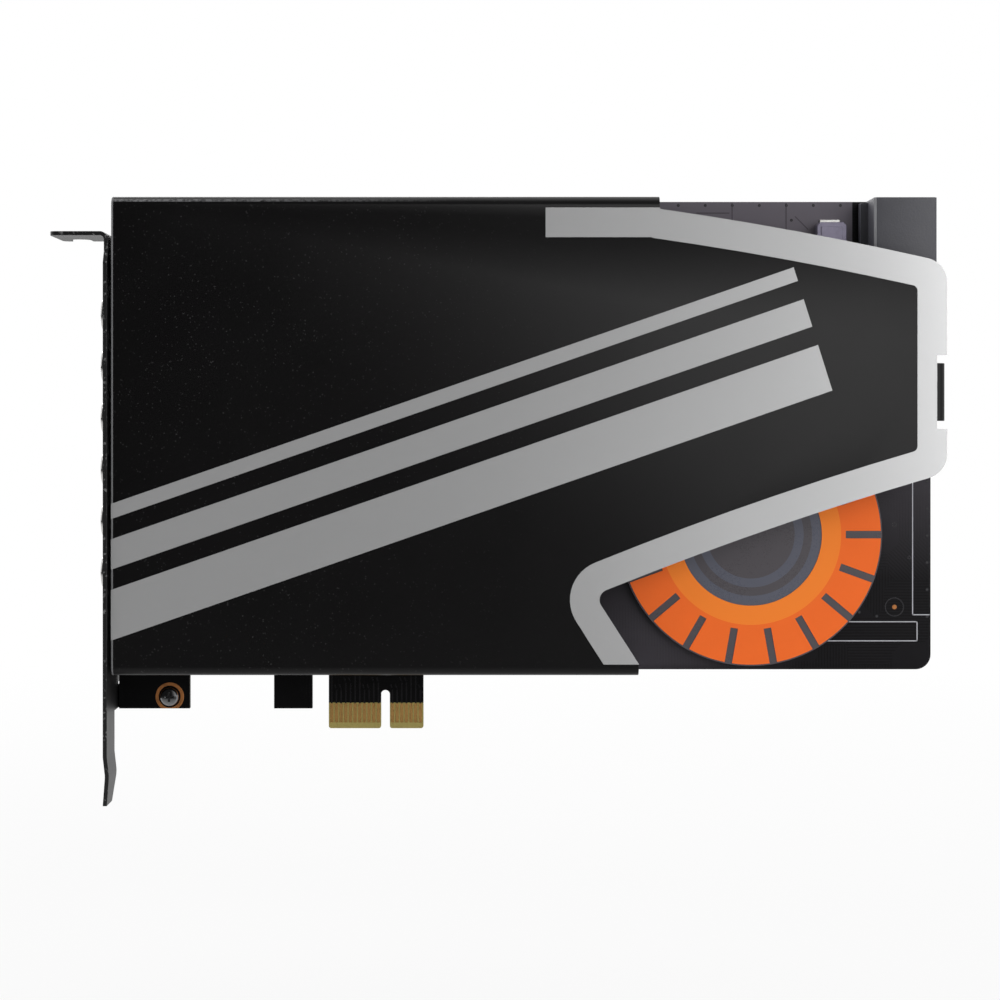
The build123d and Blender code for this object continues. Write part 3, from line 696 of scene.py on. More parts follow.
RELAY_WHITE = Moulded("relay_case", (0.60, 0.59, 0.55), 0.45)
CRYSTAL_CAN = Plated("crystal_can", (0.60, 0.58, 0.55), 0.24, 1.0)
CERAMIC_TAN = Moulded("ceramic_tan", (0.34, 0.23, 0.14), 0.50)
RESISTOR_BLACK = Moulded("resistor_black", (0.018, 0.018, 0.020), 0.30)


@dataclass(frozen=True)
class Box:
    """The box of one solid, in millimetres."""

    low: Vector
    high: Vector

    @property
    def centre(self) -> Vector:
        """Middle of the box."""
        return (self.low + self.high) / 2

    @property
    def size(self) -> Vector:
        """Length of the box along each axis."""
        return self.high - self.low


class Form:
    """A mesh in the making, in millimetres until it becomes a piece."""

    def __init__(self) -> None:
        """Start with nothing."""
        self.mesh = bmesh.new()

    @classmethod
    def of_node(cls, node: str) -> "Form":
        """Copy a node's mesh, merged and with its flat faces whole.

        Args:
            node: name of the node.

        Returns:
            The copy as a form.
        """
        form = cls()
        mesh = form.mesh
        mesh.from_mesh(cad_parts[node].data)
        bmesh.ops.scale(mesh, vec=(1.0 / MM,) * 3, verts=mesh.verts)
        bmesh.ops.remove_doubles(mesh, verts=mesh.verts, dist=MERGE_MM)
        flat = math.radians(FLAT_DEGREES)
        bmesh.ops.dissolve_limit(mesh, angle_limit=flat, verts=mesh.verts, edges=mesh.edges)
        return form

    def solids(self) -> list[Box]:
        """Boxes of the separate solids, from left to right and from the bottom up."""
        left = set(self.mesh.verts)
        boxes = []
        while left:
            queue = [left.pop()]
            corners = []
            while queue:
                vertex = queue.pop()
                corners.append(vertex.co)
                for edge in vertex.link_edges:
                    other = edge.other_vert(vertex)
                    if other in left:
                        left.remove(other)
                        queue.append(other)
            low = Vector(min(corner[axis] for corner in corners) for axis in range(3))
            high = Vector(max(corner[axis] for corner in corners) for axis in range(3))
            boxes.append(Box(low, high))
        return sorted(boxes, key=lambda box: (round(box.centre.x, 2), round(box.centre.z, 2)))

    def round_edges(self, width: float, segments: int = 2, sharper_than: float = 30.0) -> None:
        """Bevel the edges where the surface turns sharply.

        Args:
            width: width of the bevel.
            segments: faces across the bevel.
            sharper_than: least turn of a bevelled edge, in degrees.
        """
        limit = math.radians(sharper_than)
        turns = [edge for edge in self.mesh.edges if edge.calc_face_angle(0.0) > limit]
        bmesh.ops.bevel(
            self.mesh,
            geom=turns,
            offset=width,
            offset_type="OFFSET",
            affect="EDGES",
            segments=segments,
            profile=0.5,
            material=-1,
            clamp_overlap=True,
        )

    def block(self, low: Sequence[float], high: Sequence[float]) -> list[bmesh.types.BMVert]:
        """Add a box.

        Args:
            low: its lowest corner.
            high: its highest corner.

        Returns:
            The new vertices.
        """
        low, high = Vector(low), Vector(high)
        place = Matrix.LocRotScale((low + high) / 2, None, high - low)
        return bmesh.ops.create_cube(self.mesh, size=1.0, matrix=place)["verts"]

    def strip(self, start: Spot, end: Spot, width: float, face: Face, rise: float) -> None:
        """Add a straight line of print or copper on a face of the board.

        Args:
            start: X and Z of one end.
            end: X and Z of the other end.
            width: width of the line.
            face: face of the board.
            rise: height of the line above the face.
        """
        run = Vector((end[0] - start[0], end[1] - start[1]))
        level = board_level(face) + face.value * rise / 2
        middle = Vector(((start[0] + end[0]) / 2, level, (start[1] + end[1]) / 2))
        turn = Euler((0.0, -math.atan2(run.y, run.x), 0.0)).to_quaternion()
        size = Vector((run.length + width, rise, width))
        bmesh.ops.create_cube(self.mesh, size=1.0, matrix=Matrix.LocRotScale(middle, turn, size))

    def lathe(
        self,
        profile: Sequence[Span],
        centre: Sequence[float],
        axis: Turn,
        steps: int,
        closed: bool = False,
    ) -> list[bmesh.types.BMFace]:
        """Turn a profile about an axis.

        Args:
            profile: pairs of radius and place along the axis.
            centre: a point on the axis, from which the places are measured.
            axis: the axis to turn about.
            steps: faces round the axis.
            closed: whether the profile's last point joins its first.

        Returns:
            The new faces.
        """
        centre = Vector(centre)
        along = Vector(axis.value)
        outward = Vector((0.0, 0.0, 1.0))
        places = [centre + along * place + outward * radius for radius, place in profile]
        points = [self.mesh.verts.new(place) for place in places]
        pairs = list(zip(points, points[1:]))
        if closed:
            pairs.append((points[-1], points[0]))
        edges = [self.mesh.edges.new(pair) for pair in pairs]
        before = set(self.mesh.faces)
        bmesh.ops.spin(
            self.mesh,
            geom=points + edges,
            cent=centre,
            axis=along,
            angle=2 * math.pi,
            steps=steps,
            use_merge=True,
        )
        faces = [face for face in self.mesh.faces if face not in before]
        corners = list({vertex for face in faces for vertex in face.verts})
        bmesh.ops.remove_doubles(self.mesh, verts=corners, dist=SEAM_MM)
        faces = [face for face in self.mesh.faces if face not in before]
        bmesh.ops.recalc_face_normals(self.mesh, faces=faces)
        return faces

    def carve(self, tool: "Form") -> None:
        """Cut another form out of this one.

        Args:
            tool: the form that is taken away.
        """
        body = bpy.data.objects.new("carve_body", self.to_mesh("carve_body"))
        cutter = bpy.data.objects.new("carve_tool", tool.to_mesh("carve_tool"))
        for item in (body, cutter):
            bpy.context.scene.collection.objects.link(item)
        cut = body.modifiers.new("carve", "BOOLEAN")
        cut.operation = "DIFFERENCE"
        cut.solver = "EXACT"
        cut.use_self = True
        cut.object = cutter
        carved = body.evaluated_get(bpy.context.evaluated_depsgraph_get())
        self.mesh = bmesh.new()
        self.mesh.from_mesh(carved.to_mesh())
        for item in (body, cutter):
            bpy.data.objects.remove(item)

    def to_mesh(self, name: str, smooth_below: float = 18.0) -> bpy.types.Mesh:
        """Write the form to a mesh and shade its gentle turns smooth.

        Args:
            name: name of the mesh.
            smooth_below: turns under so many degrees look smooth.

        Returns:
            The new mesh.
        """
        made = bpy.data.meshes.new(name)
        self.mesh.to_mesh(made)
        self.mesh.free()
        made.shade_smooth()
        made.set_sharp_from_angle(angle=math.radians(smooth_below))
        return made

    def piece(self, name: str, finishes: Sequence[Finish], replaces: Sequence[str] = ()) -> None:
        """Make the form a piece of the card.

        Args:
            name: name of the piece.
            finishes: its finishes, the main one first.
            replaces: nodes that the piece stands for.
        """
        bmesh.ops.scale(self.mesh, vec=(MM,) * 3, verts=self.mesh.verts)
        made = bpy.data.objects.new(name, self.to_mesh(name))
        for finish in finishes:
            made.data.materials.append(finish.material())
        bpy.context.scene.collection.objects.link(made)
        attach(made, "root")
        if replaces:
            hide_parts(*replaces)
        LOG.info("%s: %d faces", name, len(made.data.polygons))


def board_level(face: Face) -> float:
    """Y of a face of the board."""
    return BOARD_LOW.y if face is Face.FRONT else BOARD_HIGH.y


def solids_of(node: str) -> list[Box]:
    """Find a node's separate solids.

    Args:
        node: name of the node.

    Returns:
        Their boxes.
    """
    form = Form.of_node(node)
    boxes = form.solids()
    form.mesh.free()
    return boxes


def dress_node(node: str, finish: Finish) -> None:
    """Give a node that keeps its shape a better finish.

    Args:
        node: name of the node.
        finish: its finish.
    """
    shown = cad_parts[node]
    shown.data.materials.clear()
    shown.data.materials.append(finish.material())
    LOG.info("%s: %s", node, finish.slot)


def soften_node(node: str, finish: Finish, width: float, segments: int = 2) -> None:
    """Stand a copy with broken edges in for a node.

    Args:
        node: name of the node.
        finish: finish of the copy.
        width: width of the broken edges.
        segments: faces across a broken edge.
    """
    form = Form.of_node(node)
    form.round_edges(width, segments)
    form.piece(f"{node}_shape", [finish], [node])


@dataclass
class CrossScrews:
    """Pan-head screws with a cross recess, in place of a node of plain ones."""

    node: str
    finish: Finish
    face: Face
    head_height: float
    crown: tuple[Span, ...] = (
        (0.0, 0.0), (0.55, 0.03), (0.80, 0.13), (0.95, 0.34), (1.0, 0.58), (1.0, 1.0),
    )
    thread_radius: float = 1.2
    thread_pitch: float = 0.45
    thread_depth: float = 0.14
    thread_crest: float = 0.1
    thread_root: float = 0.6
    tip_share: float = 0.8
    recess_reach: float = 1.15
    recess_width: float = 0.5
    recess_depth: float = 0.65
    recess_taper: float = 0.72
    steps: int = 40

    def profile(self, radius: float, length: float) -> list[Span]:
        """Head and thread from the crown to the tip, along the way the screw goes in.

        Args:
            radius: radius of the head.
            length: length of the screw with its head.

        Returns:
            Pairs of radius and depth.
        """
        depth = self.head_height
        points = [(radius * out, depth * down) for out, down in self.crown]
        while depth + self.thread_pitch < length:
            root = self.thread_radius - self.thread_depth
            points.append((self.thread_radius, depth + self.thread_crest * self.thread_pitch))
            points.append((root, depth + self.thread_root * self.thread_pitch))
            depth += self.thread_pitch
        return [*points, (self.tip_share * self.thread_radius, length), (0.0, length)]

    def recess(self, centre: Vector) -> Form:
        """The cross that is cut into the crown.

        Args:
            centre: middle of the crown.

        Returns:
            The cross as a form.
        """
        tool = Form()
        inward = -self.face.value
        half = self.recess_width / 2
        waist = Matrix.Diagonal((self.recess_taper, 1.0, self.recess_taper)).to_4x4()
        for long, short in ((self.recess_reach, half), (half, self.recess_reach)):
            low = Vector((centre.x - long, centre.y - self.recess_depth, centre.z - short))
            high = Vector((centre.x + long, centre.y + self.recess_depth, centre.z + short))
            deep = [corner for corner in tool.block(low, high) if (corner.co.y - centre.y) * inward > 0]
            bmesh.ops.transform(tool.mesh, matrix=waist, space=Matrix.Translation(-centre), verts=deep)
        return tool

    def build(self) -> None:
        """Make all screws of the node as one piece."""
        whole = Form()
        for box in solids_of(self.node):
            crown = box.low.y if self.face is Face.FRONT else box.high.y
            centre = Vector((box.centre.x, crown, box.centre.z))
            screw = Form()
            radius = box.size.x / 2
            inward = -self.face.value
            turned = [(out, inward * down) for out, down in self.profile(radius, box.size.y)]
            screw.lathe(turned, centre, Turn.Y, self.steps)
            screw.carve(self.recess(centre))
            part = screw.to_mesh("screw")
            whole.mesh.from_mesh(part)
            bpy.data.meshes.remove(part)
        whole.piece(f"{self.node}_shape", [self.finish], [self.node])


@dataclass
class ShieldCover:
    """Folded cover with its print, the posts that carry it and their screws."""

    edge_break: float = 0.12
    post_edge: float = 0.25
    screw_head: float = 1.4

    def build(self) -> None:
        """Make the cover's pieces and give the print its ink."""
        soften_node("shield_cover", COVER_BLACK, self.edge_break)
        dress_node("cover_print", PRINT_SILVER)
        soften_node("cover_standoffs", POST_STEEL, self.post_edge, 1)
        CrossScrews("cover_screws", SCREW_STEEL, Face.BACK, self.screw_head).build()


@dataclass
class SlotBracket:
    """Folded bracket and the two screws that hold the board to its ears."""

    edge_break: float = 0.14
    screw_head: float = 1.2

    def build(self) -> None:
        """Make the bracket and its screws."""
        soften_node("bracket", BRACKET_BLACK, self.edge_break)
        CrossScrews("bracket_screws", SCREW_BLACK, Face.FRONT, self.screw_head).build()


@dataclass
class JackRow:
    """Moulded jacks with a bright sleeve over each nose."""

    edge_break: float = 0.2
    sleeve_wall: float = 0.13
    sleeve_seat: float = 2.4
    sleeve_slack: float = 0.01
    lip: float = 0.05
    mouth: float = 2.0
    nose_radius: float = 3.2
    axis_rise: float = 5.5
    steps: int = 48

    def sleeve(self, form: Form, box: Box) -> None:
        """Add the sleeve of one jack: a tube over the nose, turned in at its mouth.

        Args:
            form: the form that takes the sleeve.
            box: box of the jack.
        """
        front = box.low.x - self.sleeve_slack
        outside = self.nose_radius + self.sleeve_wall
        inside = self.nose_radius + self.sleeve_slack
        end = front + self.sleeve_seat
        centre = (0.0, BOARD_LOW.y - self.axis_rise, box.centre.z)
        profile = [
            (outside, end),
            (outside, front + 0.25),
            (outside - 0.12, front),
            (outside - 0.35, front - self.lip),
            (self.mouth + 0.15, front - self.lip),
            (self.mouth, front - self.lip / 2),
            (self.mouth, front),
            (inside, front),
            (inside, end),
        ]
        form.lathe(profile, centre, Turn.X, self.steps, closed=True)

    def build(self) -> None:
        """Make the jacks, their sleeves and their soldered legs."""
        sleeves = Form()
        for node in sorted(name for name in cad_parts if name.startswith("audio_jack_")):
            low, high = (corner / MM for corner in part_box(node))
            soften_node(node, JACK_BLACK, self.edge_break)
            self.sleeve(sleeves, Box(low, high))
        sleeves.piece("jack_sleeves", [SLEEVE_NICKEL])
        dress_node("jack_terminals", TIN_PLATE)


@dataclass
class LightRing:
    """Smoked disc with its printed hub, orange ring and the lamps under it."""

    def build(self) -> None:
        """Give the disc, the ring and the lamps their finishes."""
        dress_node("light_disc", SMOKED)
        dress_node("orange_ring", ORANGE)
        dress_node("ring_leds", LAMP)


@dataclass
class PowerEntry:
    """Six-way header, its pins, and the filter inductor beside it."""

    edge_break: float = 0.18
    lid_share: float = 0.72
    lid_rise: float = 0.18
    lid_edge: float = 0.6

    def lid(self) -> None:
        """Add the raised lid of the inductor."""
        box = solids_of("filter_inductor")[0]
        half = box.size * self.lid_share / 2
        low = Vector((box.centre.x - half.x, box.low.y - self.lid_rise, box.centre.z - half.z))
        high = Vector((box.centre.x + half.x, box.low.y, box.centre.z + half.z))
        form = Form()
        form.block(low, high)
        form.round_edges(self.lid_rise * self.lid_edge)
        form.piece("inductor_lid", [INDUCTOR_SHELL])

    def build(self) -> None:
        """Make the header and the inductor."""
        soften_node("power_header", HEADER_GREY, self.edge_break)
        soften_node("filter_inductor", INDUCTOR_SHELL, self.edge_break)
        self.lid()
        dress_node("power_pins", TIN_PLATE)
        dress_node("inductor_terminals", TIN_PLATE)


@dataclass
class Cans:
    """Electrolytic cans: sleeved tube with a rolled groove, a stripe and a bare top inside its rim."""

    node: str
    groove_depth: float = 0.35
    top_rim: float = 0.75
    top_drop: float = 0.2
    steps: int = 40
    stripe_half_angle: float = 0.42

    def can(self, form: Form, box: Box) -> None:
        """Add one can and mark its stripe and its bare top.

        Args:
            form: the form that takes the can.
            box: box of the can.
        """
        radius = box.size.x / 2
        tall = box.size.y
        centre = Vector((box.centre.x, box.high.y, box.centre.z))
        profile = [
            (0.0, 0.0),
            (radius - 0.4, 0.0),
            (radius, 0.3),
            (radius, 1.5),
            (radius - self.groove_depth, 1.9),
            (radius - self.groove_depth, 2.2),
            (radius, 2.6),
            (radius, tall - 0.5),
            (radius - 0.15, tall - 0.12),
            (radius - 0.5, tall),
            (radius - self.top_rim, tall - 0.05),
            (radius - self.top_rim, tall - self.top_drop),
            (0.0, tall - self.top_drop),
        ]
        turned = [(out, -rise) for out, rise in profile]
        for face in form.lathe(turned, centre, Turn.Y, self.steps):
            middle = face.calc_center_median() - centre
            out = math.hypot(middle.x, middle.z)
            if out < radius - self.top_rim and middle.y < -tall / 2:
                face.material_index = 2
            elif abs(math.atan2(middle.z, middle.x)) < self.stripe_half_angle:
                face.material_index = 1

    def build(self) -> None:
        """Make all cans of the node as one piece."""
        form = Form()
        for box in solids_of(self.node):
            self.can(form, box)
        form.piece(f"{self.node}_shape", [CAN_SLEEVE, CAN_STRIPE, CAN_TOP], [self.node])


@dataclass
class SoundPath:
    """The parts under the cover: capacitors, relays, chips, crystals and regulators."""

    box_edge: float = 0.3
    chip_edge: float = 0.1
    boxed: dict[str, Finish] = field(
        default_factory=lambda: {
            "film_capacitors": FILM_RED,
            "coupling_capacitors": COUPLING_GREY,
            **dict.fromkeys(RELAYS, RELAY_WHITE),
        }
    )
    small: dict[str, Finish] = field(
        default_factory=lambda: {
            "output_converter": CHIP_BLACK,
            "input_converter": CHIP_BLACK,
            "headphone_amplifier": CHIP_BLACK,
            "audio_processor": CHIP_BLACK,
            "bridge_chip": CHIP_BLACK,
            "regulators": CHIP_BLACK,
            "crystal_1": CRYSTAL_CAN,
            "crystal_2": CRYSTAL_CAN,
            "ceramic_capacitors": CERAMIC_TAN,
            "chip_resistors": RESISTOR_BLACK,
        }
    )
    plain: dict[str, Finish] = field(
        default_factory=lambda: {"amplifier_leads": TIN_PLATE, "regulator_tabs": TIN_PLATE}
    )

    def build(self) -> None:
        """Make or dress each part."""
        for node, finish in self.boxed.items():
            soften_node(node, finish, self.box_edge)
        for node, finish in self.small.items():
            soften_node(node, finish, self.chip_edge, 1)
        for node, finish in self.plain.items():
            dress_node(node, finish)
        for node in sorted(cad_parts):
            if node.startswith("op_amp_socket_"):
                soften_node(node, SOCKET_BLACK, self.box_edge)
            elif node.startswith("op_amp_"):
                soften_node(node, CHIP_BLACK, self.chip_edge, 1)
        for node in ("output_capacitors", "supply_capacitors"):
            Cans(node).build()


@dataclass
class BoardDetail:
    """What sits on the board's faces: print, tracks, vias, pads and solder joints."""

    print_width: float = 0.2
    print_rise: float = 0.02
    print_room: float = 0.6
    corner_mark: Run = ((113.15, 53.7), (113.15, 24.4))
    corner_inset: float = 0.3
    bare_frame: tuple[Spot, Spot] = ((94.5, 18.8), (114.1, 22.9))
    track_width: float = 0.3
    track_rise: float = 0.025
    track_reach: float = 22.0
    track_room: float = 1.15
    tongue_rises: tuple[Triple, Triple] = ((4.6, 3.1, 6.2), (3.4, 5.2, 4.2))
    tongue_left: float = -20.0
    tongue_lean: Spot = (0.35, 0.8)
    gap_width: float = 0.24
    gaps_from_top: tuple[Run, ...] = (
        ((74.4, -0.3), (74.4, -16.0)),
        ((86.0, -0.3), (86.0, -16.0)),
        ((66.9, -2.4), (73.7, -2.4)),
        ((88.0, -3.2), (90.6, -5.8)),
    )
    front_rings: tuple[tuple[Spot, Span], ...] = (
        (AIM_MARK, (1.85, 2.05)),
        ((109.3, 43.7), (0.3, 0.55)),
        ((112.5, 36.7), (0.2, 0.4)),
    )
    ring_steps: int = 32
    via_radius: float = 0.32
    via_bore: float = 0.14
    via_steps: int = 12
    pad_radius: float = 3.05
    pad_gap: float = 0.35
    pad_rise: float = 0.03
    pad_inset: float = 0.06
    pad_steps: int = 40
    mark_radius: float = 0.5
    mark_steps: int = 20
    power_pin_rise: float = 0.5
    joint_radius: float = 0.95
    joint_height: float = 0.75
    joint_steps: int = 14
    stitch_pitch: float = 5.8
    stitch_inset: float = 0.75
    stitch_left: float = 4.0
    stitch_foot: float = 24.0
    stitch_column: int = 12
    loose_vias: int = 190
    loose_inset: float = 3.0
    loose_foot: float = 16.0
    pin_room: float = 3.4
    via_room: float = 1.3
    draw: random.Random = field(default_factory=lambda: random.Random(11))

    def pins(self) -> list[Spot]:
        """Find each pin that is soldered through the board.

        Returns:
            X and Z of the pins.
        """
        relay = [(x, z) for x in (-5.1, -1.7, 1.7, 5.1) for z in (-2.5, 2.5)]
        socket = [(x, z) for x in (-3.81, -1.27, 1.27, 3.81) for z in (-3.81, 3.81)]
        spread = {
            "film_capacitors": [(-2.5, 0.0), (2.5, 0.0)],
            "coupling_capacitors": [(-2.5, 0.0), (2.5, 0.0)],
            "output_capacitors": [(0.0, -1.75), (0.0, 1.75)],
            "supply_capacitors": [(0.0, -2.5), (0.0, 2.5)],
            "jack_terminals": [(0.0, 0.0)],
            **dict.fromkeys(RELAYS, relay),
            **dict.fromkeys(SOCKETS, socket),
        }
        places = []
        for node, offsets in spread.items():
            for box in solids_of(node):
                places += [(box.centre.x + x, box.centre.z + z) for x, z in offsets]
        places += [(box.centre.x, box.low.z + self.power_pin_rise) for box in solids_of("power_pins")]
        return places

    def solder(self, pins: Sequence[Spot]) -> None:
        """Add a fillet of solder round each pin on the back of the board.

        Args:
            pins: X and Z of the pins.
        """
        form = Form()
        reach, tall = self.joint_radius, self.joint_height
        profile = [
            (reach, 0.0),
            (reach, 0.04),
            (0.72 * reach, 0.16 * tall),
            (0.48 * reach, 0.48 * tall),
            (0.36 * reach, 0.86 * tall),
            (0.22 * reach, tall),
            (0.0, 1.05 * tall),
        ]
        for x, z in pins:
            form.lathe(profile, (x, BOARD_HIGH.y, z), Turn.Y, self.joint_steps)
        form.piece("solder_joints", [TIN_PLATE])

    def stitching(self) -> list[Spot]:
        """Place the vias in a row along the board's top and right edges.

        Returns:
            X and Z of the vias.
        """
        top, right = BOARD_HIGH.z - self.stitch_inset, BOARD_HIGH.x - self.stitch_inset
        count = int((BOARD_HIGH.x - BOARD_LOW.x) / self.stitch_pitch)
        row = [BOARD_LOW.x + self.stitch_left + index * self.stitch_pitch for index in range(count)]
        column = [self.stitch_foot + index * self.stitch_pitch for index in range(self.stitch_column)]
        return [(x, top) for x in row] + [(right, z) for z in column]

    def free_places(self, pins: Sequence[Spot]) -> list[Spot]:
        """Draw places over the board that keep clear of the pins, the screws and the aiming mark.

        Args:
            pins: X and Z of the pins.

        Returns:
            X and Z of the places.
        """
        taken = [*pins, AIM_MARK]
        for node in ("bracket_screws", "cover_screws"):
            taken += [(box.centre.x, box.centre.z) for box in solids_of(node)]
        found = []
        while len(found) < self.loose_vias:
            spot = (
                self.draw.uniform(BOARD_LOW.x + self.loose_inset, BOARD_HIGH.x - self.loose_inset),
                self.draw.uniform(self.loose_foot, BOARD_HIGH.z - self.loose_inset),
            )
            clear = all(math.dist(spot, other) > self.pin_room for other in taken)
            if clear and all(math.dist(spot, other) > self.via_room for other in found):
                found.append(spot)
        return found

    def vias(self, places: Sequence[Spot]) -> None:
        """Add the tented rings of the vias on both faces, and their dark bores.

        Args:
            places: X and Z of the vias.
        """
        rings, bores = Form(), Form()
        for x, z in places:
            for face in Face:
                rise = face.value * self.track_rise
                profile = [
                    (self.via_radius, 0.0),
                    (self.via_radius - 0.06, rise),
                    (self.via_bore + 0.03, rise),
                    (self.via_bore, 0.3 * rise),
                ]
                centre = (x, board_level(face), z)
                rings.lathe(profile, centre, Turn.Y, self.via_steps)
                hole = [(self.via_bore, 0.3 * rise), (0.0, 0.25 * rise)]
                bores.lathe(hole, centre, Turn.Y, self.via_steps)
        rings.piece("via_rings", [TRACK_MASK])
        bores.piece("via_bores", [JACK_BLACK])

    def back_tracks(self, pins: Sequence[Spot], places: Sequence[Spot]) -> None:
        """Run bent tracks on the back, from pins and vias to a free via near them.

        Args:
            pins: X and Z of the soldered pins.
            places: X and Z of the vias.
        """
        form = Form()
        spots = [*pins, *places]
        joined: set[Spot] = set()
        laid: list[Run] = []
        for start in spots:
            if start in joined:
                continue
            free = [spot for spot in places if spot != start and spot not in joined]
            near = [spot for spot in free if math.dist(start, spot) < self.track_reach]
            for end in sorted(near, key=lambda spot: math.dist(start, spot)):
                runs = bent_runs(start, end)
                others = [spot for spot in spots if spot not in (start, end)]
                if all(is_clear(run, laid, others, self.track_room) for run in runs):
                    laid += runs
                    joined |= {start, end}
                    break
        for start, end in laid:
            form.strip(start, end, self.track_width, Face.BACK, self.track_rise)
        form.piece("back_tracks", [TRACK_MASK])

    def tongue_tracks(self) -> None:
        """Run a track up from each edge contact, with a short lean at its end."""
        form = Form()
        width, height = self.track_width, self.track_rise
        for box in solids_of("edge_contacts"):
            face = Face.FRONT if box.centre.y < 0 else Face.BACK
            index = round(box.centre.x - self.tongue_left)
            side = 1 if index % 2 else -1
            start = (box.centre.x, box.high.z)
            bend = (box.centre.x, box.high.z + self.tongue_rises[index % 2][index % 3])
            end = (bend[0] + side * self.tongue_lean[0], bend[1] + self.tongue_lean[1])
            form.strip(start, bend, width, face, height)
            form.strip(bend, end, width, face, height)
        form.piece("tongue_tracks", [SHADED_TONGUE_TRACK])

    def front_tracks(self) -> None:
        """Add the gaps in the pour above the cover's cut-away end, and the masked rings at the right."""
        form = Form()
        top = BOARD_HIGH.z
        for (left, start), (right, end) in self.gaps_from_top:
            form.strip((left, top + start), (right, top + end), self.gap_width, Face.FRONT, self.track_rise)
        for (x, z), (inside, outside) in self.front_rings:
            ring = [
                (inside, 0.0),
                (inside, -self.track_rise),
                (outside, -self.track_rise),
                (outside, 0.0),
            ]
            for face in form.lathe(ring, (x, BOARD_LOW.y, z), Turn.Y, self.ring_steps):
                face.material_index = 1
        form.piece("front_tracks", [POUR_GAP, TRACK_MASK])

    def printing(self) -> None:
        """Add the plain printed lines: a corner mark, a bare frame and outlines of the parts."""
        form = Form()
        corner = self.corner_mark[1]
        front = [self.corner_mark, (corner, (BOARD_HIGH.x - self.corner_inset, corner[1]))]
        front += outline(*self.bare_frame)
        for node in ("film_capacitors", "coupling_capacitors", "regulators"):
            for box in solids_of(node):
                front += around(box, self.print_room)
        back = [side for node in RELAYS + SOCKETS for side in around(solids_of(node)[0])]
        for face, lines in ((Face.FRONT, front), (Face.BACK, back)):
            for start, end in lines:
                form.strip(start, end, self.print_width, face, self.print_rise)
        form.piece("board_print", [SILK_WHITE])

    def pads(self) -> None:
        """Add the bare copper: rings about the bracket screws and a round aiming mark."""
        form = Form()
        for box in solids_of("bracket_screws"):
            inner = box.size.x / 2 + self.pad_gap
            ring = [
                (inner, 0.0),
                (inner, -self.pad_rise),
                (self.pad_radius - 0.05, -self.pad_rise),
                (self.pad_radius, 0.0),
            ]
            form.lathe(ring, (box.centre.x, BOARD_LOW.y, box.centre.z), Turn.Y, self.pad_steps)
        bmesh.ops.bisect_plane(
            form.mesh,
            geom=form.mesh.verts[:] + form.mesh.edges[:] + form.mesh.faces[:],
            plane_co=(0.0, 0.0, TAB_FOOT + self.pad_inset),
            plane_no=(0.0, 0.0, 1.0),
            clear_inner=True,
        )
        mark = [(self.mark_radius, 0.0), (self.mark_radius - 0.03, -self.pad_rise), (0.0, -self.pad_rise)]
        form.lathe(mark, (AIM_MARK[0], BOARD_LOW.y, AIM_MARK[1]), Turn.Y, self.mark_steps)
        form.piece("copper_pads", [BARE_COPPER])

    def build(self) -> None:
        """Dress the board and its contacts and add the detail on both faces."""
        dress_node("circuit_board", BOARD_MASK)
        dress_node("edge_contacts", CONTACT_GOLD)
        pins = self.pins()
        loose = self.free_places(pins)
        self.solder(pins)
        self.vias(self.stitching() + loose)
        self.back_tracks(pins, loose)
        self.tongue_tracks()
        self.front_tracks()
        self.printing()
        self.pads()


def bent_runs(start: Spot, end: Spot) -> list[Run]:
    """Lay out a track that leaves level or upright and turns once by 45 degrees.

    Args:
        start: X and Z of one end.
        end: X and Z of the other end.

    Returns:
        Its straight runs.
    """
    across, up = end[0] - start[0], end[1] - start[1]
    slant = min(abs(across), abs(up))
    if abs(across) > abs(up):
        bend = (end[0] - math.copysign(slant, across), start[1])
    else:
        bend = (start[0], end[1] - math.copysign(slant, up))
    return [run for run in ((start, bend), (bend, end)) if math.dist(*run) > SHORTEST_RUN]


def is_clear(run: Run, laid: Sequence[Run], spots: Sequence[Spot], room: float) -> bool:
    """Tell whether a run crosses no other run and keeps its distance from pins and vias.

    Args:
        run: the two ends of the new run.
        laid: runs that are there already.
        spots: pins and vias that the run doesn't belong to.
        room: least distance to those.

    Returns:
        True where the run can be laid.
    """
    first, last = Vector(run[0]), Vector(run[1])
    for one, two in laid:
        if geometry.intersect_line_line_2d(first, last, Vector(one), Vector(two)):
            return False
    along = last - first
    for spot in spots:
        share = (Vector(spot) - first).dot(along) / along.length_squared
        foot = first + along * min(max(share, 0.0), 1.0)
        if (foot - Vector(spot)).length < room:
            return False
    return True


def outline(low: Spot, high: Spot) -> list[Run]:
    """Four sides of a rectangle."""
    corners = [low, (high[0], low[1]), high, (low[0], high[1])]
    return list(zip(corners, corners[1:] + corners[:1]))


def around(box: Box, room: float = 0.0) -> list[Run]:
    """Four sides of a rectangle about a solid, with room to spare."""
    low, high = box.low, box.high
    return outline((low.x - room, low.z - room), (high.x + room, high.z + room))


@dataclass(frozen=True)
class Lamp:
    """A soft square lamp: its place and the side of its face in metres, and its watts."""

    name: str
    place: Triple
    size: float
    watts: float

    def hang(self) -> None:
        """Hang the lamp so that it faces the middle of the card."""
        made = bpy.data.lights.new(self.name, "AREA")
        made.shape = "SQUARE"
        made.size = self.size
        made.energy = self.watts
        holder = bpy.data.objects.new(self.name, made)
        holder.location = self.place
        middle = (CAD_BOX[0] + CAD_BOX[1]) / 2
        holder.rotation_euler = (middle - Vector(self.place)).to_track_quat("-Z", "Y").to_euler()
        bpy.context.scene.collection.objects.link(holder)


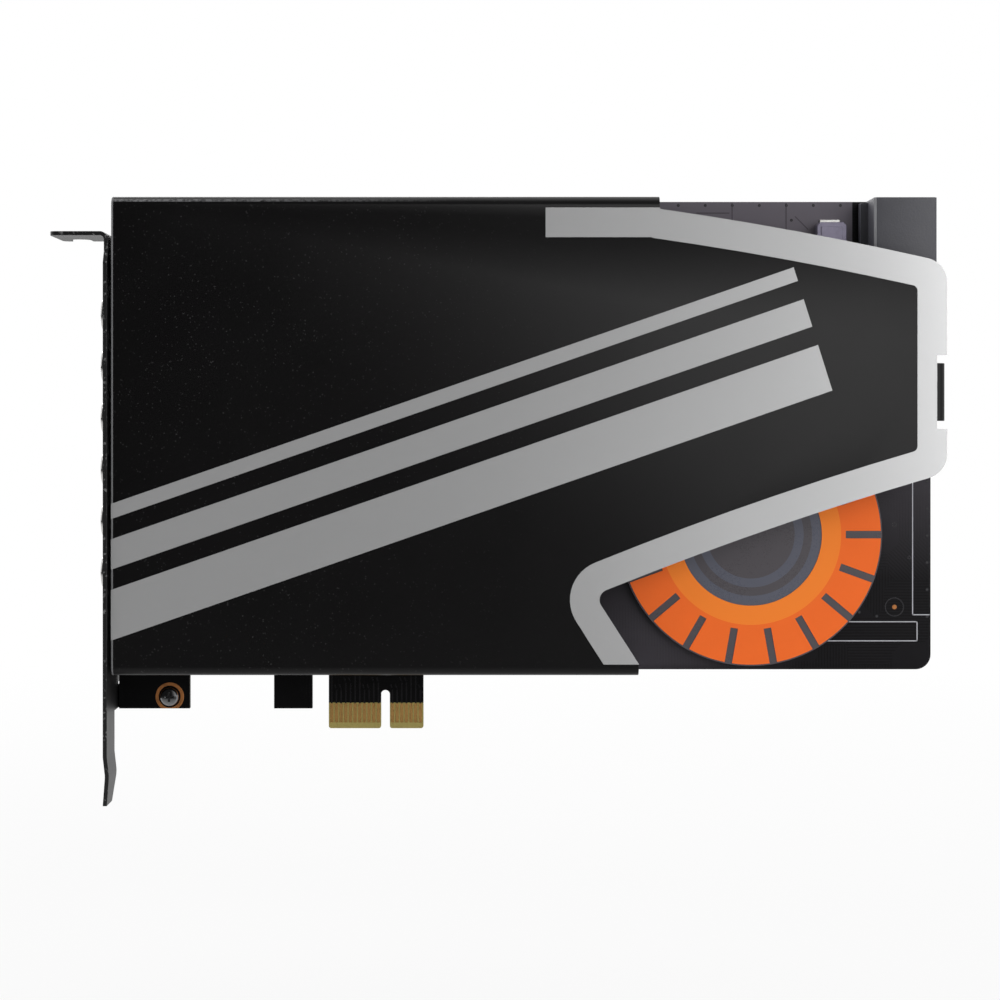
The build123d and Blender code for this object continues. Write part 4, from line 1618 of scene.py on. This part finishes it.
@dataclass
class Studio:
    """Pale floor, white surroundings, soft lamps and the camera."""

    image_px: float = 1000.0
    sensor_mm: float = 36.0
    focal_px: float = 2283.0
    axis_px: tuple[float, float] = (480.0, 420.0)
    camera_mm: Triple = (20.3, -490.8, 66.2)
    clip_start: float = 0.01
    floor_drop_mm: float = 45.0
    floor_half_m: float = 4.0
    floor_color: Color = (0.90, 0.90, 0.90)
    floor_shade: Span = (-0.05, -0.35)
    shadow_share: float = 0.16
    shadow_fade: Span = (0.15, 0.7)
    light_level: float = 0.42
    sky_shade: Span = (-0.10, -0.55)
    sky_lean: float = 0.1
    shade_depth: float = 0.97
    shade_lift: float = 0.90
    shade_across: Span = (0.045, 0.30)
    lamps: tuple[Lamp, ...] = (
        Lamp("key_right", (0.72, -1.0, 0.30), 0.8, 6.2),
        Lamp("fill_left", (-0.95, -0.6, 0.4), 0.8, 0.9),
        Lamp("top_soft", (0.05, 0.1, 1.1), 0.9, 3.5),
        Lamp("back_soft", (-0.4, 1.1, 0.5), 0.9, 5.0),
    )

    def camera(self) -> None:
        """Place the camera straight in front of the board, with the frame shifted to fit."""
        made = bpy.data.cameras.new("camera")
        made.sensor_width = self.sensor_mm
        made.lens = self.focal_px / self.image_px * self.sensor_mm
        made.shift_x = 0.5 - self.axis_px[0] / self.image_px
        made.shift_y = self.axis_px[1] / self.image_px - 0.5
        made.clip_start = self.clip_start
        holder = bpy.data.objects.new("camera", made)
        holder.location = Vector(self.camera_mm) * MM
        holder.rotation_euler = (math.pi / 2, 0.0, 0.0)
        bpy.context.scene.collection.objects.link(holder)
        bpy.context.scene.camera = holder

    def floor(self) -> None:
        """Lay a pale floor that shows white and still takes a shadow."""
        form = bmesh.new()
        bmesh.ops.create_grid(form, x_segments=1, y_segments=1, size=self.floor_half_m)
        drop = CAD_BOX[0].z - self.floor_drop_mm * MM
        bmesh.ops.translate(form, vec=(0.0, 0.0, drop), verts=form.verts)
        made = bpy.data.meshes.new("floor")
        form.to_mesh(made)
        form.free()
        paint = bpy.data.materials.new("floor_white")
        paint.use_nodes = True
        graph = Graph(paint.node_tree)
        lit = graph.wire("ShaderNodeBsdfDiffuse", None, {"Color": opaque(self.floor_color)})
        white, dark = (graph.wire("ShaderNodeEmission", None, {"Color": tone}) for tone in (WHITE, BLACK))
        x, y, _ = graph.axes
        tone = self.shaded_front(x * MM, y * MM, self.floor_shade)
        seen = graph.blend(tone.larger(ray_kind(graph, "Is Camera Ray")), dark, white)
        reach = (x * x + y * y).root() * MM
        clear = (1.0 - self.shadow_share) + self.shadow_share * reach.ramp(*self.shadow_fade)
        surface = graph.blend(seen_ray(graph) * clear, lit, seen)
        graph.node("ShaderNodeOutputMaterial", None, {"Surface": surface})
        made.materials.append(paint)
        holder = bpy.data.objects.new("floor", made)
        bpy.context.scene.collection.objects.link(holder)

    def surroundings(self) -> None:
        """White to the camera, shaded from right to left in reflections, even as light."""
        world = bpy.data.worlds.new("studio")
        world.use_nodes = True
        graph = Graph(world.node_tree)
        facing = graph.wire("ShaderNodeTexCoord", output="Generated")
        split = graph.node("ShaderNodeSeparateXYZ", None, {0: facing})
        across, along, upwards = (Wire(graph, output) for output in split.outputs)
        tone = self.shaded_front(across + self.sky_lean * upwards, along, self.sky_shade)
        soft, dark, white = (
            graph.wire("ShaderNodeBackground", None, {"Color": WHITE, "Strength": strength})
            for strength in (self.light_level, 0.0, 1.0)
        )
        seen = graph.blend(tone.larger(ray_kind(graph, "Is Camera Ray")), dark, white)
        graph.node("ShaderNodeOutputWorld", None, {"Surface": graph.blend(seen_ray(graph), soft, seen)})
        bpy.context.scene.world = world

    def shaded_front(self, across: Wire, along: Wire, shade: Span) -> Wire:
        """White behind the card; in front of it dark at the left and bright at the right.

        Args:
            across: how far to the right.
            along: how far to the back.
            shade: where the shade begins and where it is full, along.

        Returns:
            The tone, from nought to one.
        """
        lift = self.shade_lift * across.ramp(*self.shade_across)
        return 1.0 - along.ramp(*shade) * (self.shade_depth - lift)

    def build(self) -> None:
        """Set up the whole studio."""
        self.camera()
        self.floor()
        self.surroundings()
        for lamp in self.lamps:
            lamp.hang()
        bpy.context.scene.view_settings.view_transform = "Standard"


def ray_kind(graph: Graph, kind: str) -> Wire:
    """One for rays of the named kind, else nought."""
    return graph.wire("ShaderNodeLightPath", output=kind)


def seen_ray(graph: Graph) -> Wire:
    """Tell the rays from the camera, and those that show in metal or glass, from the others.

    Args:
        graph: the node tree of a material or the world.

    Returns:
        One for such a ray, else nought.
    """
    camera, glossy, through = (
        ray_kind(graph, kind) for kind in ("Is Camera Ray", "Is Glossy Ray", "Is Transmission Ray")
    )
    return camera.larger(glossy).larger(through)


def main() -> None:
    """Build the card's looks, then the studio."""
    logging.basicConfig(level=logging.INFO, format="%(name)s %(message)s")
    assemblies = (
        ShieldCover(),
        SlotBracket(),
        JackRow(),
        LightRing(),
        PowerEntry(),
        SoundPath(),
        BoardDetail(),
        Studio(),
    )
    for assembly in assemblies:
        assembly.build()
        LOG.info("%s done", type(assembly).__name__)


if __name__ == "__main__":
    main()
